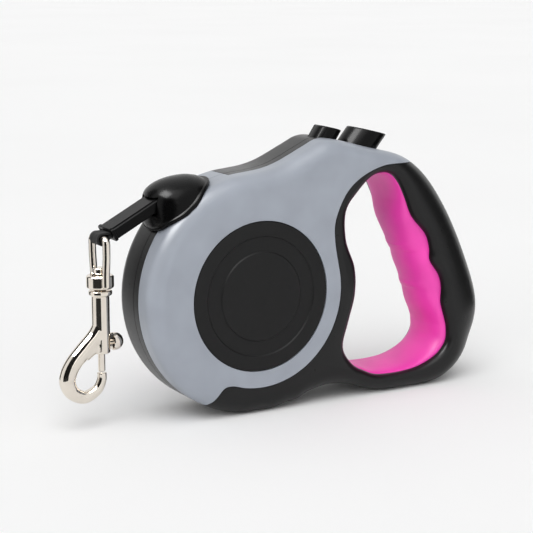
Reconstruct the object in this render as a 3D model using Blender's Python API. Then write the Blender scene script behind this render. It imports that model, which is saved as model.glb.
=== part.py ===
"""Retractable tape leash with a loop handle, a button brake and a bolt snap.

Metres, +Z up. X runs from the snap to the handle, Y is the thickness, and the leash stands on z = 0.
Outlines are drawn in the (x, z) plane, measured from the reel axis, in case radii.
"""

from math import acos, atan2, cos, degrees, hypot, pi, radians, sin

import bmesh
import bpy
from mathutils import Matrix, Vector

for old in list(bpy.data.objects):
    bpy.data.objects.remove(old, do_unlink=True)

# Fits
FIT = 0.0003
RUNNING_GAP = 0.0004
PAST = 0.004

# Case: a round reel case that runs into a loop handle
CASE_RADIUS = 0.0515
STAND_FLAT = 0.0005
AXIS_HEIGHT = CASE_RADIUS - STAND_FLAT


def drawn(points):
    """Points that are drawn in case radii."""
    return [tuple(value * CASE_RADIUS for value in point) for point in points]


CASE_HALF_DEPTH = 0.017
SHOULDER_RADIUS = 0.007
HANDLE_EXTRA_ACROSS = 0.011
HANDLE_EXTRA_DEEP = 0.006
HANDLE_START, HANDLE_FOOT = drawn([(1.2816, 1.9029), (-0.9709, -0.5825)])
CASE_ARC_DEG = (94, 286)
ARC_STEPS = 32
SPLINE_STEPS = 2
SHOULDER_STEPS = 3
UNDERSIDE = drawn([
    (0.3883, -0.9437),
    (0.5087, -0.8932),
    (0.7184, -0.8621),
    (0.9320, -0.8971),
    (1.0874, -0.9515),
])
HANDLE_BACK = drawn([
    (1.2621, -0.9864),
    (1.4466, -0.9981),
    (1.6408, -0.9961),
    (1.9029, -0.9476),
    (2.1553, -0.7767),
    (2.3010, -0.5243),
    (2.3204, -0.2524),
    (2.1845, 0.1359),
    (1.9806, 0.5437),
    (1.7476, 0.8544),
    (1.4563, 1.0485),
])
TOP = drawn([
    (1.0680, 1.1534),
    (0.7864, 1.2272),
    (0.6505, 1.2311),
    (0.5107, 1.1709),
    (0.2796, 1.0660),
    (0.1165, 1.0194),
])

# Grey covers over the case, and the bare case between them
COVER_WALL = 0.0016
COVER_EDGE = 0.0046
FAR_COVER_EDGE = 0.0070
COVER_ARC_RADIUS = 0.7650 * CASE_RADIUS
COVER_ARC_DEG = (257, 374)
COVER_ARC_STEPS = 20
COVER_TAIL = drawn([(-0.5825, -0.9709), (-0.4583, -0.8447), (-0.3592, -0.7340), (-0.2718, -0.7184)])
COVER_RISE = drawn([
    (0.7049, 0.3981),
    (0.7107, 0.5728),
    (0.8058, 0.7767),
    (0.9456, 0.9049),
    (1.1359, 0.9864),
    (1.3204, 1.0058),
    (1.7476, 0.9806),
])
SADDLE_TAB = drawn([(-0.4369, -0.1748)])[0]
DISC_RADIUS = 0.032
DISC_RINGS = (0.0254, 0.0188)
DISC_STEP = 0.0003
DISC_SIDES = 48

# Hand hole and soft grip
HOLE_LEFT = drawn([
    (0.8214, -0.5320),
    (0.8738, -0.3184),
    (0.9379, -0.0854),
    (0.9320, 0.1476),
    (0.8447, 0.3806),
    (0.8388, 0.6252),
    (0.9456, 0.7767),
])
GRIP_EDGE = drawn([
    (1.1010, 0.9087),
    (1.2621, 0.9243),
    (1.3650, 0.8466),
    (1.4447, 0.7049),
    (1.5243, 0.5282),
    (1.6699, 0.3650),
    (1.7184, 0.2311),
    (1.7282, 0.1204),
    (1.8252, -0.0194),
    (1.8544, -0.1320),
    (1.8524, -0.2641),
    (1.8932, -0.4019),
    (1.9165, -0.4932),
    (1.9068, -0.6272),
    (1.7903, -0.7456),
    (1.5534, -0.8252),
    (1.2175, -0.8311),
    (1.0369, -0.7689),
    (0.9107, -0.6854),
])
GRIP_CROWN = [
    0.0010, 0.0014, 0.0016, 0.0026, 0.0064, 0.0104, 0.0096, 0.0074,
    0.0100, 0.0096, 0.0064, 0.0048, 0.0048, 0.0048, 0.0040, 0.0024,
    0.0019, 0.0016, 0.0010,
]
GRIP_SET_BACK = 0.004
GRIP_HALF_WIDTH = CASE_HALF_DEPTH - GRIP_SET_BACK
GRIP_ROOT = 0.0018
SLOT_SLIDE = 0.0001
GRIP_ARC_STEPS = 6
HOLE_LIP = 0.0035
HOLE_LIP_DEG = (75, 40, 0)
HOLE_FLARE = 0.001
HOLE_STEPS = 2

# Reel inside the case
RIM_WALL = 0.0045
CAVITY_RADIUS = CASE_RADIUS - RIM_WALL
SIDE_WALL = 0.0042
CAVITY_HALF_DEPTH = CASE_HALF_DEPTH - SIDE_WALL
CAVITY_SIDES = 48
AXLE_RADIUS = 0.004
AXLE_SEAT = 0.001
AXLE_SIDES = 24
REEL_CLEARANCE = 0.0015
FLANGE_RADIUS = CAVITY_RADIUS - REEL_CLEARANCE
TOOTH_DEPTH = 0.0057
TOOTH_ROOT_RADIUS = FLANGE_RADIUS - TOOTH_DEPTH
REEL_TEETH = 16
TOOTH_STEPS = 3
REEL_SIDES = 40
HUB_RADIUS = 0.024
HUB_WALL = 0.002
FLANGE_WALL = 0.0014
TAPE_WIDTH = 0.0076
TAPE_THICKNESS = 0.0011
HUB_END_GAP = 0.0022
HUB_HALF_DEPTH = CAVITY_HALF_DEPTH - HUB_END_GAP
WEB_WALL = 0.002
FLANGE_ABOVE_TAPE = 0.0037
WOUND_RADIUS = FLANGE_RADIUS - FLANGE_ABOVE_TAPE
SPRING_TURNS = 6
SPRING_STRIP = 0.0005
SPRING_STEPS = 14

# Tape outlet
SLEEVE_TILT_DEG = 27.7
SLEEVE_PAST_PIN = 0.0049
SLEEVE_LENGTH = 0.0268
SLEEVE_WIDTH = 0.0126
SLEEVE_THICKNESS = 0.0049
SLEEVE_WALL = 0.0010
SLEEVE_LIP = 0.0004
SLEEVE_LIP_LENGTH = 0.0012
NOSE_TOP = drawn([
    (-0.4175, 0.9650),
    (-0.5146, 0.9942),
    (-0.6505, 0.9883),
    (-0.7573, 0.9553),
    (-0.8311, 0.9010),
    (-0.8583, 0.8252),
    (-0.8583, 0.7087),
    (-0.8466, 0.6214),
])
NOSE_ARC_DEG = (145.5, 112.5)
NOSE_SET_BACK = 0.004
NOSE_HALF_WIDTH = CASE_HALF_DEPTH - NOSE_SET_BACK
NOSE_ROUND = 0.0055
NOSE_WALL = 0.0018
NOSE_FLANGE = 0.0016
NOSE_FLANGE_DEG = (110.5, 147.5)
NOSE_FLANGE_OUT = 0.0008
NOSE_FLANGE_HALF = NOSE_HALF_WIDTH + NOSE_FLANGE_OUT
NOSE_FLANGE_PLAN = [(1.0, 7.0), (0.964, 3.5), (0.855, 1.0), (0.688, 0.0)]
NOSE_STEPS = 3
NOSE_FOOT_STEPS = 10
SLIT_SPARE = 0.0024
PIN_RADIUS = 0.0016
PIN_SEAT = 0.002
PIN_SIDES = 16
PIN_BEND_STEPS = 3
GUIDE_PIN = drawn([(-0.6505, 0.8311)])[0]

# Buttons on the sloping top
TOP_SLOPE_DEG = 14.5
BUTTON_SIDES = 24
BRAKE_BASE = drawn([(1.1204, 1.1398)])[0]
BRAKE_LEAN_DEG = 40
BRAKE_RADIUS = 0.1709 * CASE_RADIUS
BRAKE_HEIGHT = 0.0084
BRAKE_TRAVEL = 0.003
BRAKE_STEM = (0.0036, 0.0080)
PAWL_WIDTH = 0.0124
PAWL_HEIGHT = 0.0040
LOCK_BASE = drawn([(0.7767, 1.2272)])[0]
LOCK_LEAN_DEG = 34
LOCK_RADIUS = 0.1165 * CASE_RADIUS
LOCK_FRONT = 0.0913 * CASE_RADIUS
LOCK_STEPS = 18
LOCK_HEIGHT = 0.0052
LOCK_TRAVEL = 0.0025
LOCK_STEM = (0.0036, 0.0060)
LOCK_STEM_LENGTH = 0.0090
BUTTON_SKIRT = 0.0427 * CASE_RADIUS
BUTTON_EDGE = 0.0007
ROUNDED_SHARE = 0.3
WELL_SPARE = 0.0427 * CASE_RADIUS
COIL_WIRE = 0.00025
COIL_TURNS = 2
BOLT_COIL_TURNS = 4
COIL_STEPS = 8
COIL_SIDES = 4

# Bolt snap
BAR_RADIUS = 0.0016
EYE_LEG = 0.0061
EYE_CORNER = 0.0017
EYE_DROP = 0.0150
COLLAR_RADIUS = 0.0057
COLLAR_HEIGHT = 0.0055
POST_RADIUS = 0.0023
POST_HEAD_RADIUS = 0.00295
POST_HEAD_HEIGHT = 0.0028
NECK_GAP = 0.0008
NECK_RADIUS = 0.0049
NECK_HEIGHT = 0.0021
BARREL_RADIUS = 0.0037
BARREL_LENGTH = 0.0218
HOOK_ROUTE = [
    (0.0000, 0.0070, 0.00340),
    (-0.0040, 0.0040, 0.00360),
    (-0.0085, 0.0004, 0.00350),
    (-0.0130, -0.0054, 0.00340),
    (-0.0151, -0.0108, 0.00345),
    (-0.0134, -0.0160, 0.00310),
    (-0.0080, -0.0187, 0.00265),
    (-0.0024, -0.0162, 0.00230),
    (0.0000, -0.0102, 0.00200),
]
BOLT_RADIUS = 0.0015
BOLT_TRAVEL = 0.009
BOLT_ABOVE = 0.0065
BOLT_SPARE = 0.003
KNOB_RADIUS = 0.00375
KNOB_BACK = 0.0061
KNOB_THICKNESS = 0.0035
KNOB_PROFILE = [(0, 0.94), (0.09, 1), (0.46, 1), (0.8, 0.8), (1, 0.4)]
KNOB_RISE = 0.0040
KNOB_STEM_RADIUS = 0.0012
KNOB_SIDES = 16
SNAP_SIDES = 14
EYE_SIDES = 10
HOOK_SIDES = 12
COLLAR_SIDES = 20
HOOK_STEPS = 3

# Case screws, on the far side
SCREWS = drawn([(1.5068, 0.8796), (2.0971, -0.1942), (2.0000, -0.7476), (0.7476, -0.7476)])
SCREW_RADIUS = 0.0015
SCREW_HEAD_RADIUS = 0.0028
SCREW_HEAD_HEIGHT = 0.0018
SCREW_SUNK = 0.0065
SCREW_SEAT = CASE_HALF_DEPTH - SCREW_SUNK
SCREW_REACH = 0.008
SCREW_SIDES = 12


def material(name, colour, roughness, metallic=0.0):
    made = bpy.data.materials.new(name)
    made.use_nodes = True
    shader = made.node_tree.nodes["Principled BSDF"]
    shader.inputs["Base Color"].default_value = (*colour, 1)
    shader.inputs["Roughness"].default_value = roughness
    shader.inputs["Metallic"].default_value = metallic
    return made


BLACK = material("black_plastic", (0.022, 0.022, 0.023), 0.45)
GLOSS_BLACK = material("gloss_black_plastic", (0.016, 0.016, 0.017), 0.25)
GREY = material("grey_plastic", (0.37, 0.39, 0.44), 0.4)
PINK = material("pink_rubber", (0.86, 0.08, 0.46), 0.5)
WEBBING = material("black_webbing", (0.012, 0.012, 0.012), 0.8)
NICKEL = material("nickel_plate", (0.80, 0.76, 0.70), 0.15, 1.0)
STEEL = material("spring_steel", (0.45, 0.45, 0.46), 0.3, 1.0)
INNER = material("natural_plastic", (0.55, 0.55, 0.53), 0.5)

leash = bpy.data.objects.new("leash", None)
bpy.context.scene.collection.objects.link(leash)


def solid(name, bm, paint=None, origin=(0, 0, 0), sharp_deg=35):
    """An object with its origin at a point measured from the reel axis, from a mesh measured the same way."""
    bmesh.ops.translate(bm, verts=bm.verts, vec=-Vector(origin))
    bmesh.ops.recalc_face_normals(bm, faces=bm.faces)
    mesh = bpy.data.meshes.new(name)
    bm.to_mesh(mesh)
    bm.free()
    mesh.shade_smooth()
    mesh.set_sharp_from_angle(angle=radians(sharp_deg))
    made = bpy.data.objects.new(name, mesh)
    bpy.context.scene.collection.objects.link(made)
    made.parent = leash
    made.location = origin
    if paint:
        mesh.materials.append(paint)
    else:
        made.hide_render = True
        made.display_type = "WIRE"
    return made


def boolean(target, tool, operation="DIFFERENCE"):
    change = target.modifiers.new(tool.name, "BOOLEAN")
    change.operation = operation
    change.object = tool
    change.solver = "EXACT"


def loft(loops):
    """A closed mesh through loops with equal counts of points, filled at both ends."""
    bm = bmesh.new()
    rings = [[bm.verts.new(point) for point in loop] for loop in loops]
    for low, high in zip(rings, rings[1:]):
        for i in range(len(low)):
            bm.faces.new((low[i - 1], low[i], high[i], high[i - 1]))
    bm.faces.new(rings[0])
    bm.faces.new(rings[-1][::-1])
    return bm


def prism(outline, low, high):
    """An (x, z) outline pulled along Y."""
    return loft([[(x, y, z) for x, z in outline] for y in (low, high)])


def turned(profile, steps, radius_at=None):
    """A closed (radius, y) profile turned about the reel axis. radius_at may reshape a radius by angle."""
    bm = bmesh.new()
    rings = []
    for step in range(steps):
        angle = 2 * pi * step / steps
        ring = []
        for radius, y in profile:
            reach = radius_at(radius, step) if radius_at else radius
            ring.append(bm.verts.new((reach * cos(angle), y, reach * sin(angle))))
        rings.append(ring)
    for step in range(steps):
        low, high = rings[step - 1], rings[step]
        for i in range(len(profile)):
            bm.faces.new((low[i - 1], low[i], high[i], high[i - 1]))
    return bm


def rod(start, end, radius, sides, end_radius=None):
    """A round bar between two points."""
    axis = Vector(end) - Vector(start)
    turn = axis.to_track_quat("Z", "X").to_matrix().to_4x4()
    place = Matrix.Translation((Vector(start) + Vector(end)) / 2) @ turn
    bm = bmesh.new()
    bmesh.ops.create_cone(
        bm,
        cap_ends=True,
        segments=sides,
        radius1=radius,
        radius2=end_radius or radius,
        depth=axis.length,
        matrix=place,
    )
    return bm


def tube(route, radii, sides, across):
    """A round bar along a flat route, with across the direction square to that route."""
    loops = []
    for i, point in enumerate(route):
        ahead = route[min(i + 1, len(route) - 1)] - route[max(i - 1, 0)]
        out = ahead.normalized().cross(across).normalized()
        loop = []
        for side in range(sides):
            angle = 2 * pi * side / sides
            loop.append(point + radii[i] * (cos(angle) * out + sin(angle) * across))
        loops.append(loop)
    return loft(loops)


def strip_box(centre, along, length, width, thickness):
    """A box whose length lies along a direction in the (x, z) plane and whose width lies along Y."""
    ahead = Vector((along[0], along[1])).normalized()
    up = Vector((-ahead.y, ahead.x))
    middle = Vector(centre)
    corners = []
    for forward, rise in ((-1, -1), (1, -1), (1, 1), (-1, 1)):
        corners.append(middle + ahead * forward * length / 2 + up * rise * thickness / 2)
    return prism([tuple(corner) for corner in corners], -width / 2, width / 2)


def arc(radius, start_deg, end_deg, steps, centre=(0, 0)):
    points = []
    for step in range(steps + 1):
        angle = radians(start_deg + (end_deg - start_deg) * step / steps)
        points.append((centre[0] + radius * cos(angle), centre[1] + radius * sin(angle)))
    return points


def spline(points, steps):
    """Points on a smooth curve through the second to the last but one of the given points."""
    made = []
    for a, b, c, d in zip(points, points[1:], points[2:], points[3:]):
        for step in range(steps):
            t = step / steps
            place = []
            for p, q, r, s in zip(a, b, c, d):
                bend = 2 * p - 5 * q + 4 * r - s
                twist = 3 * (q - r) + s - p
                place.append(q + 0.5 * t * (r - p + t * (bend + t * twist)))
            made.append(tuple(place))
    made.append(tuple(points[-2]))
    return made


def inward(outline):
    """The unit normal into a closed outline at each of its points."""
    area = sum(a[0] * b[1] - b[0] * a[1] for a, b in zip(outline, outline[1:] + outline[:1]))
    hand = 1 if area > 0 else -1
    normals = []
    for i in range(len(outline)):
        before = outline[i - 1]
        after = outline[(i + 1) % len(outline)]
        dx = after[0] - before[0]
        dz = after[1] - before[1]
        size = hypot(dx, dz)
        normals.append((-dz * hand / size, dx * hand / size))
    return normals


def offset(outline, distance):
    return [(x + nx * distance, z + nz * distance) for (x, z), (nx, nz) in zip(outline, inward(outline))]


def ramp(value, low, high):
    share = min(max((value - low) / (high - low), 0), 1)
    return share * share * (3 - 2 * share)


def heading(lean_deg):
    """The direction in the (x, z) plane that leans back from upright by an angle."""
    return Vector((sin(radians(lean_deg)), cos(radians(lean_deg))))


# Case outline, from the top of the reel round the front, under the handle and back over the top
CASE_ARC = arc(CASE_RADIUS, *CASE_ARC_DEG, ARC_STEPS)
HANDLE_RUN = spline(CASE_ARC[-2:] + UNDERSIDE + HANDLE_BACK + TOP + CASE_ARC[:2], SPLINE_STEPS)
CASE_OUTLINE = [(x, max(z, -AXIS_HEIGHT)) for x, z in CASE_ARC + HANDLE_RUN[1:-1]]
CASE_NORMALS = inward(CASE_OUTLINE)


def handle_share(x, z):
    """1 on the round back of the handle, 0 on the flat-sided reel case and on the foot."""
    return ramp(x, *HANDLE_START) * ramp(z, *HANDLE_FOOT)


def case_half(side, wall, start):
    """One half of the case, drawn in by a wall, from near the parting plane to the face."""
    loops = [[(x, side * start, z) for x, z in offset(CASE_OUTLINE, wall)]]
    for step in range(SHOULDER_STEPS + 1):
        angle = pi / 2 * step / SHOULDER_STEPS
        loop = []
        for (x, z), (nx, nz) in zip(CASE_OUTLINE, CASE_NORMALS):
            share = handle_share(x, z)
            across = SHOULDER_RADIUS + share * HANDLE_EXTRA_ACROSS
            deep = SHOULDER_RADIUS + share * HANDLE_EXTRA_DEEP
            inset = wall + (across - wall) * (1 - cos(angle))
            depth = CASE_HALF_DEPTH - deep + (deep - wall) * sin(angle)
            loop.append((x + nx * inset, side * depth, z + nz * inset))
        loops.append(loop)
    return loft(loops)


def span(side, low, high):
    """Two depths on one side of the parting plane."""
    return sorted((side * low, side * high))


# Edge between grey cover and bare case, closed by a path well outside the case
COVER_ARC = arc(COVER_ARC_RADIUS, *COVER_ARC_DEG, COVER_ARC_STEPS)
COVER_LINE = spline(COVER_TAIL[:1] + COVER_TAIL + COVER_ARC[:2], SPLINE_STEPS)[:-1]
COVER_LINE += COVER_ARC
COVER_LINE += spline(COVER_ARC[-2:] + COVER_RISE + COVER_RISE[-1:], SPLINE_STEPS)[1:]
OUTSIDE = 2 * CASE_RADIUS
COVER_REGION = COVER_LINE + [(COVER_RISE[-1][0], OUTSIDE), (-OUTSIDE, OUTSIDE), (-OUTSIDE, COVER_TAIL[0][1])]


def cover_region(name, side, spread):
    """The space of a cover: its edge line pulled along Y, with the tab behind the nose."""
    edge = COVER_EDGE if side < 0 else FAR_COVER_EDGE
    made = solid(name, prism(offset(COVER_REGION, -spread), *span(side, edge - spread, OUTSIDE)))
    left, right = SADDLE_TAB[0] - spread, SADDLE_TAB[1] + spread
    low = CASE_RADIUS - 2 * SHOULDER_RADIUS
    tab = [(left, low), (right, low), (right, OUTSIDE), (left, OUTSIDE)]
    tab_solid = solid(name + "_tab", prism(tab, *span(side, FIT / 2, edge + PAST)))
    boolean(made, tab_solid, "UNION")
    return made


# Hand hole, with the soft grip along its back and foot
HOLE_POINTS = HOLE_LEFT + GRIP_EDGE
HOLE_OUTLINE = spline(HOLE_POINTS[-1:] + HOLE_POINTS + HOLE_POINTS[:2], HOLE_STEPS)[:-1]
HOLE_NORMALS = inward(HOLE_OUTLINE)
GRIP_FIRST = len(HOLE_LEFT) * HOLE_STEPS


def hole_cutter():
    """The hand hole, with its lips rounded over on both faces."""
    loops = []
    lips = [radians(angle) for angle in HOLE_LIP_DEG]
    for side in (-1, 1):
        ring_angles = lips if side < 0 else lips[::-1]
        rings = [(HOLE_LIP * (1 - cos(a)), CASE_HALF_DEPTH - HOLE_LIP * (1 - sin(a))) for a in ring_angles]
        flare = (2 * HOLE_LIP, CASE_HALF_DEPTH + HOLE_FLARE)
        rings = [flare] + rings if side < 0 else rings + [flare]
        for spread, depth in rings:
            loops.append([(x, side * depth, z) for x, z in offset(HOLE_OUTLINE, -spread)])
    return solid("hand_hole", loft(loops))


def grip_stations():
    """Along the grip: the edge point, the way into the hole, and how far the grip crowns into it."""
    crowns = [(value,) for value in GRIP_CROWN]
    stations = []
    for i, (crown,) in enumerate(spline(crowns[:1] + crowns + crowns[-1:], HOLE_STEPS)):
        place = (GRIP_FIRST + i) % len(HOLE_OUTLINE)
        stations.append((HOLE_OUTLINE[place], HOLE_NORMALS[place], crown))
    return stations


def grip_piece():
    loops = []
    for (x, z), (nx, nz), crown in grip_stations():
        section = [(-GRIP_ROOT, -GRIP_HALF_WIDTH), (0, -GRIP_HALF_WIDTH)]
        for step in range(1, GRIP_ARC_STEPS):
            angle = pi * step / GRIP_ARC_STEPS
            section.append((crown * sin(angle), -GRIP_HALF_WIDTH * cos(angle)))
        section += [(0, GRIP_HALF_WIDTH), (-GRIP_ROOT, GRIP_HALF_WIDTH)]
        loops.append([(x + nx * rise, y, z + nz * rise) for rise, y in section])
    return solid("grip", loft(loops), PINK)


def grip_slot():
    """The groove that the grip's root sits in, slid a little along the hole so that no two edges coincide."""
    stations = grip_stations()
    ends = []
    for this, near in ((stations[0], stations[1]), (stations[-1], stations[-2])):
        away = (Vector(this[0]) - Vector(near[0])).normalized()
        ends.append((tuple(Vector(this[0]) + away * FIT), this[1], this[2]))
    loops = []
    for (x, z), (nx, nz), crown in ends[:1] + stations[1:-1] + ends[1:]:
        section = []
        for rise in (-GRIP_ROOT - FIT, min(crown, HOLE_LIP)):
            for y in (-GRIP_HALF_WIDTH - FIT, GRIP_HALF_WIDTH + FIT):
                section.append((rise, y))
        order = [section[0], section[1], section[3], section[2]]
        slid = (x - nz * SLOT_SLIDE, z + nx * SLOT_SLIDE)
        loops.append([(slid[0] + nx * rise, y, slid[1] + nz * rise) for rise, y in order])
    return solid("grip_slot", loft(loops))


# Reel
FLANGE_INNER = TAPE_WIDTH / 2 + FIT
FLANGE_OUTER = FLANGE_INNER + FLANGE_WALL
BRAKE_AXIS = heading(BRAKE_LEAN_DEG)


def brake_meets(radius):
    """Where the brake button's axis crosses a circle about the reel axis."""
    base = Vector(BRAKE_BASE)
    along = base.dot(BRAKE_AXIS)
    return base - BRAKE_AXIS * (along - (along**2 - base.dot(base) + radius**2) ** 0.5)


PAWL_AT = brake_meets(FLANGE_RADIUS)
PAWL_ANGLE = atan2(PAWL_AT.y, PAWL_AT.x)


def reel_drum():
    """The spool: a hub closed on one side, and two notched flanges that the brake's pawl drops into."""
    bore = AXLE_RADIUS + RUNNING_GAP
    inside = HUB_RADIUS - HUB_WALL
    web = HUB_HALF_DEPTH - WEB_WALL
    profile = [
        (bore, HUB_HALF_DEPTH),
        (HUB_RADIUS, HUB_HALF_DEPTH),
        (HUB_RADIUS, FLANGE_OUTER),
        (FLANGE_RADIUS, FLANGE_OUTER),
        (FLANGE_RADIUS, FLANGE_INNER),
        (HUB_RADIUS, FLANGE_INNER),
        (HUB_RADIUS, -FLANGE_INNER),
        (FLANGE_RADIUS, -FLANGE_INNER),
        (FLANGE_RADIUS, -FLANGE_OUTER),
        (HUB_RADIUS, -FLANGE_OUTER),
        (HUB_RADIUS, -HUB_HALF_DEPTH),
        (inside, -HUB_HALF_DEPTH),
        (inside, web),
        (bore, web),
    ]

    def toothed(radius, step):
        return TOOTH_ROOT_RADIUS if radius == FLANGE_RADIUS and step % TOOTH_STEPS == 0 else radius

    bm = turned(profile, REEL_TEETH * TOOTH_STEPS, toothed)
    bmesh.ops.rotate(bm, verts=bm.verts, matrix=Matrix.Rotation(-PAWL_ANGLE, 3, "Y"))
    return solid("reel_drum", bm, INNER)


def ring(low, high, inner, outer):
    return [(inner, high), (outer, high), (outer, low), (inner, low)]


def reel_pieces():
    reel_drum()
    inside = HUB_RADIUS - HUB_WALL
    lid = ring(-HUB_HALF_DEPTH, -HUB_HALF_DEPTH + WEB_WALL, AXLE_RADIUS + RUNNING_GAP, inside - FIT)
    solid("reel_lid", turned(lid, REEL_SIDES), INNER)
    tape = ring(-TAPE_WIDTH / 2, TAPE_WIDTH / 2, HUB_RADIUS + FIT, WOUND_RADIUS)
    solid("wound_tape", turned(tape, REEL_SIDES), WEBBING)
    end = CAVITY_HALF_DEPTH + AXLE_SEAT - FIT
    solid("reel_axle", rod((0, -end, 0), (0, end, 0), AXLE_RADIUS, AXLE_SIDES), STEEL)
    low = -HUB_HALF_DEPTH + WEB_WALL + FIT
    high = HUB_HALF_DEPTH - WEB_WALL - FIT
    start = AXLE_RADIUS + FIT
    reach = inside - FIT - SPRING_STRIP - start
    loops = []
    for step in range(SPRING_TURNS * SPRING_STEPS + 1):
        turn = step / SPRING_STEPS
        radius = start + reach * turn / SPRING_TURNS
        way = (cos(2 * pi * turn), sin(2 * pi * turn))
        strip = ((radius, low), (radius + SPRING_STRIP, low), (radius + SPRING_STRIP, high), (radius, high))
        loops.append([(r * way[0], y, r * way[1]) for r, y in strip])
    solid("mainspring", loft(loops), STEEL)


# Tape outlet
OUT = Vector((-cos(radians(SLEEVE_TILT_DEG)), -sin(radians(SLEEVE_TILT_DEG))))
LIFT = Vector((OUT.y, -OUT.x))
OVER_PIN = PIN_RADIUS + FIT + TAPE_THICKNESS / 2
SLEEVE_INNER_END = Vector(GUIDE_PIN) + OUT * SLEEVE_PAST_PIN + LIFT * OVER_PIN
SLEEVE_END = SLEEVE_INNER_END + OUT * SLEEVE_LENGTH
BAR_CLEAR = BAR_RADIUS + FIT
LAYER = TAPE_THICKNESS / 2 + FIT / 2
EYE_BAR = SLEEVE_END + OUT * (BAR_CLEAR + 2 * TAPE_THICKNESS)
BEND_STEPS = 10
WRAP_PAST_DEG = 25


def tape_slot():
    """The slit in the rim, under the nose, that the tape leaves through."""
    start = Vector((0, WOUND_RADIUS))
    end = Vector(GUIDE_PIN) + Vector((0, PIN_RADIUS + TAPE_THICKNESS))
    length = (end - start).length
    slit = strip_box(
        (start + end) / 2,
        end - start,
        length,
        TAPE_WIDTH + 2 * FIT,
        TAPE_THICKNESS + SLIT_SPARE,
    )
    return solid("tape_slot", slit)


def nose_flange(seat):
    """The nose's foot flange: a thin band that bends down over the case's shoulders, with rounded corners."""
    plan = [(-share, drawn_in) for share, drawn_in in NOSE_FLANGE_PLAN] + NOSE_FLANGE_PLAN[::-1]
    loops = []
    for share, drawn_in in plan:
        y = share * NOSE_FLANGE_HALF
        past_flat = max(abs(y) - (CASE_HALF_DEPTH - SHOULDER_RADIUS), 0)
        low = seat - SHOULDER_RADIUS + (SHOULDER_RADIUS**2 - past_flat**2) ** 0.5
        start, end = NOSE_FLANGE_DEG[0] + drawn_in, NOSE_FLANGE_DEG[1] - drawn_in
        band = arc(low, start, end, NOSE_FOOT_STEPS)
        band += arc(low + NOSE_FLANGE, end, start, NOSE_FOOT_STEPS)
        loops.append([(x, y, z) for x, z in band])
    return solid("nose_flange", loft(loops))


def nose_piece():
    """The tape outlet: a hollow rounded horn on the rim, with a mouth for the sleeve and a foot flange."""
    seat = CASE_RADIUS + FIT
    foot_radius = seat + NOSE_FLANGE / 2
    foot = arc(foot_radius, *NOSE_ARC_DEG, NOSE_FOOT_STEPS)
    top = spline([foot[-1]] + NOSE_TOP + [foot[0], foot[1]], SPLINE_STEPS)[:-1]
    outline = foot + top
    weights = [0] * len(foot) + [1] * len(top)
    normals = inward(outline)
    angles = [radians(90) * step / NOSE_STEPS for step in range(NOSE_STEPS, -1, -1)]
    loops = []
    for side in (-1, 1):
        for angle in angles if side < 0 else angles[::-1]:
            depth = side * (NOSE_HALF_WIDTH - NOSE_ROUND * (1 - sin(angle)))
            inset = NOSE_ROUND * (1 - cos(angle))
            loop = []
            for (x, z), (nx, nz), weight in zip(outline, normals, weights):
                share = weight * ramp(hypot(x, z) - foot_radius, 0, NOSE_ROUND)
                loop.append((x + nx * inset * share, depth, z + nz * inset * share))
            loops.append(loop)
    nose = solid("nose", loft(loops), GLOSS_BLACK)
    boolean(nose, nose_flange(seat), "UNION")
    chamber_half = SLEEVE_WIDTH / 2 + RUNNING_GAP
    chamber = offset(outline, NOSE_WALL)[len(foot) + 2:-SPLINE_STEPS * 3]
    chamber += [tuple(Vector(foot[i]) * (1 - NOSE_WALL / seat)) for i in (2, 4, 6, 8)]
    boolean(nose, solid("nose_chamber", prism(chamber, -chamber_half, chamber_half)))
    mouth_length = SLEEVE_LENGTH + PAST
    mouth = strip_box(
        SLEEVE_END - OUT * mouth_length / 2,
        OUT,
        mouth_length,
        2 * chamber_half + 2 * SLEEVE_LIP,
        SLEEVE_THICKNESS + 2 * RUNNING_GAP + 2 * SLEEVE_LIP,
    )
    boolean(nose, solid("nose_mouth", mouth))
    seat_half = chamber_half + PIN_SEAT
    x, z = GUIDE_PIN
    pin_hole = rod((x, -seat_half, z), (x, seat_half, z), PIN_RADIUS + FIT, PIN_SIDES)
    boolean(nose, solid("pin_seat", pin_hole))
    pin_half = seat_half - FIT
    solid("guide_pin", rod((x, -pin_half, z), (x, pin_half, z), PIN_RADIUS, PIN_SIDES), STEEL)


def ribbon(route, thickness, width):
    """A flat band along an (x, z) route, drawn as its two faces."""
    ahead = []
    for i in range(len(route)):
        way = route[min(i + 1, len(route) - 1)] - route[max(i - 1, 0)]
        ahead.append(Vector((-way.y, way.x)).normalized() * thickness / 2)
    outline = [tuple(p + n) for p, n in zip(route, ahead)]
    outline += [tuple(p - n) for p, n in zip(route[::-1], ahead[::-1])]
    return prism(outline, -width / 2, width / 2)


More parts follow.
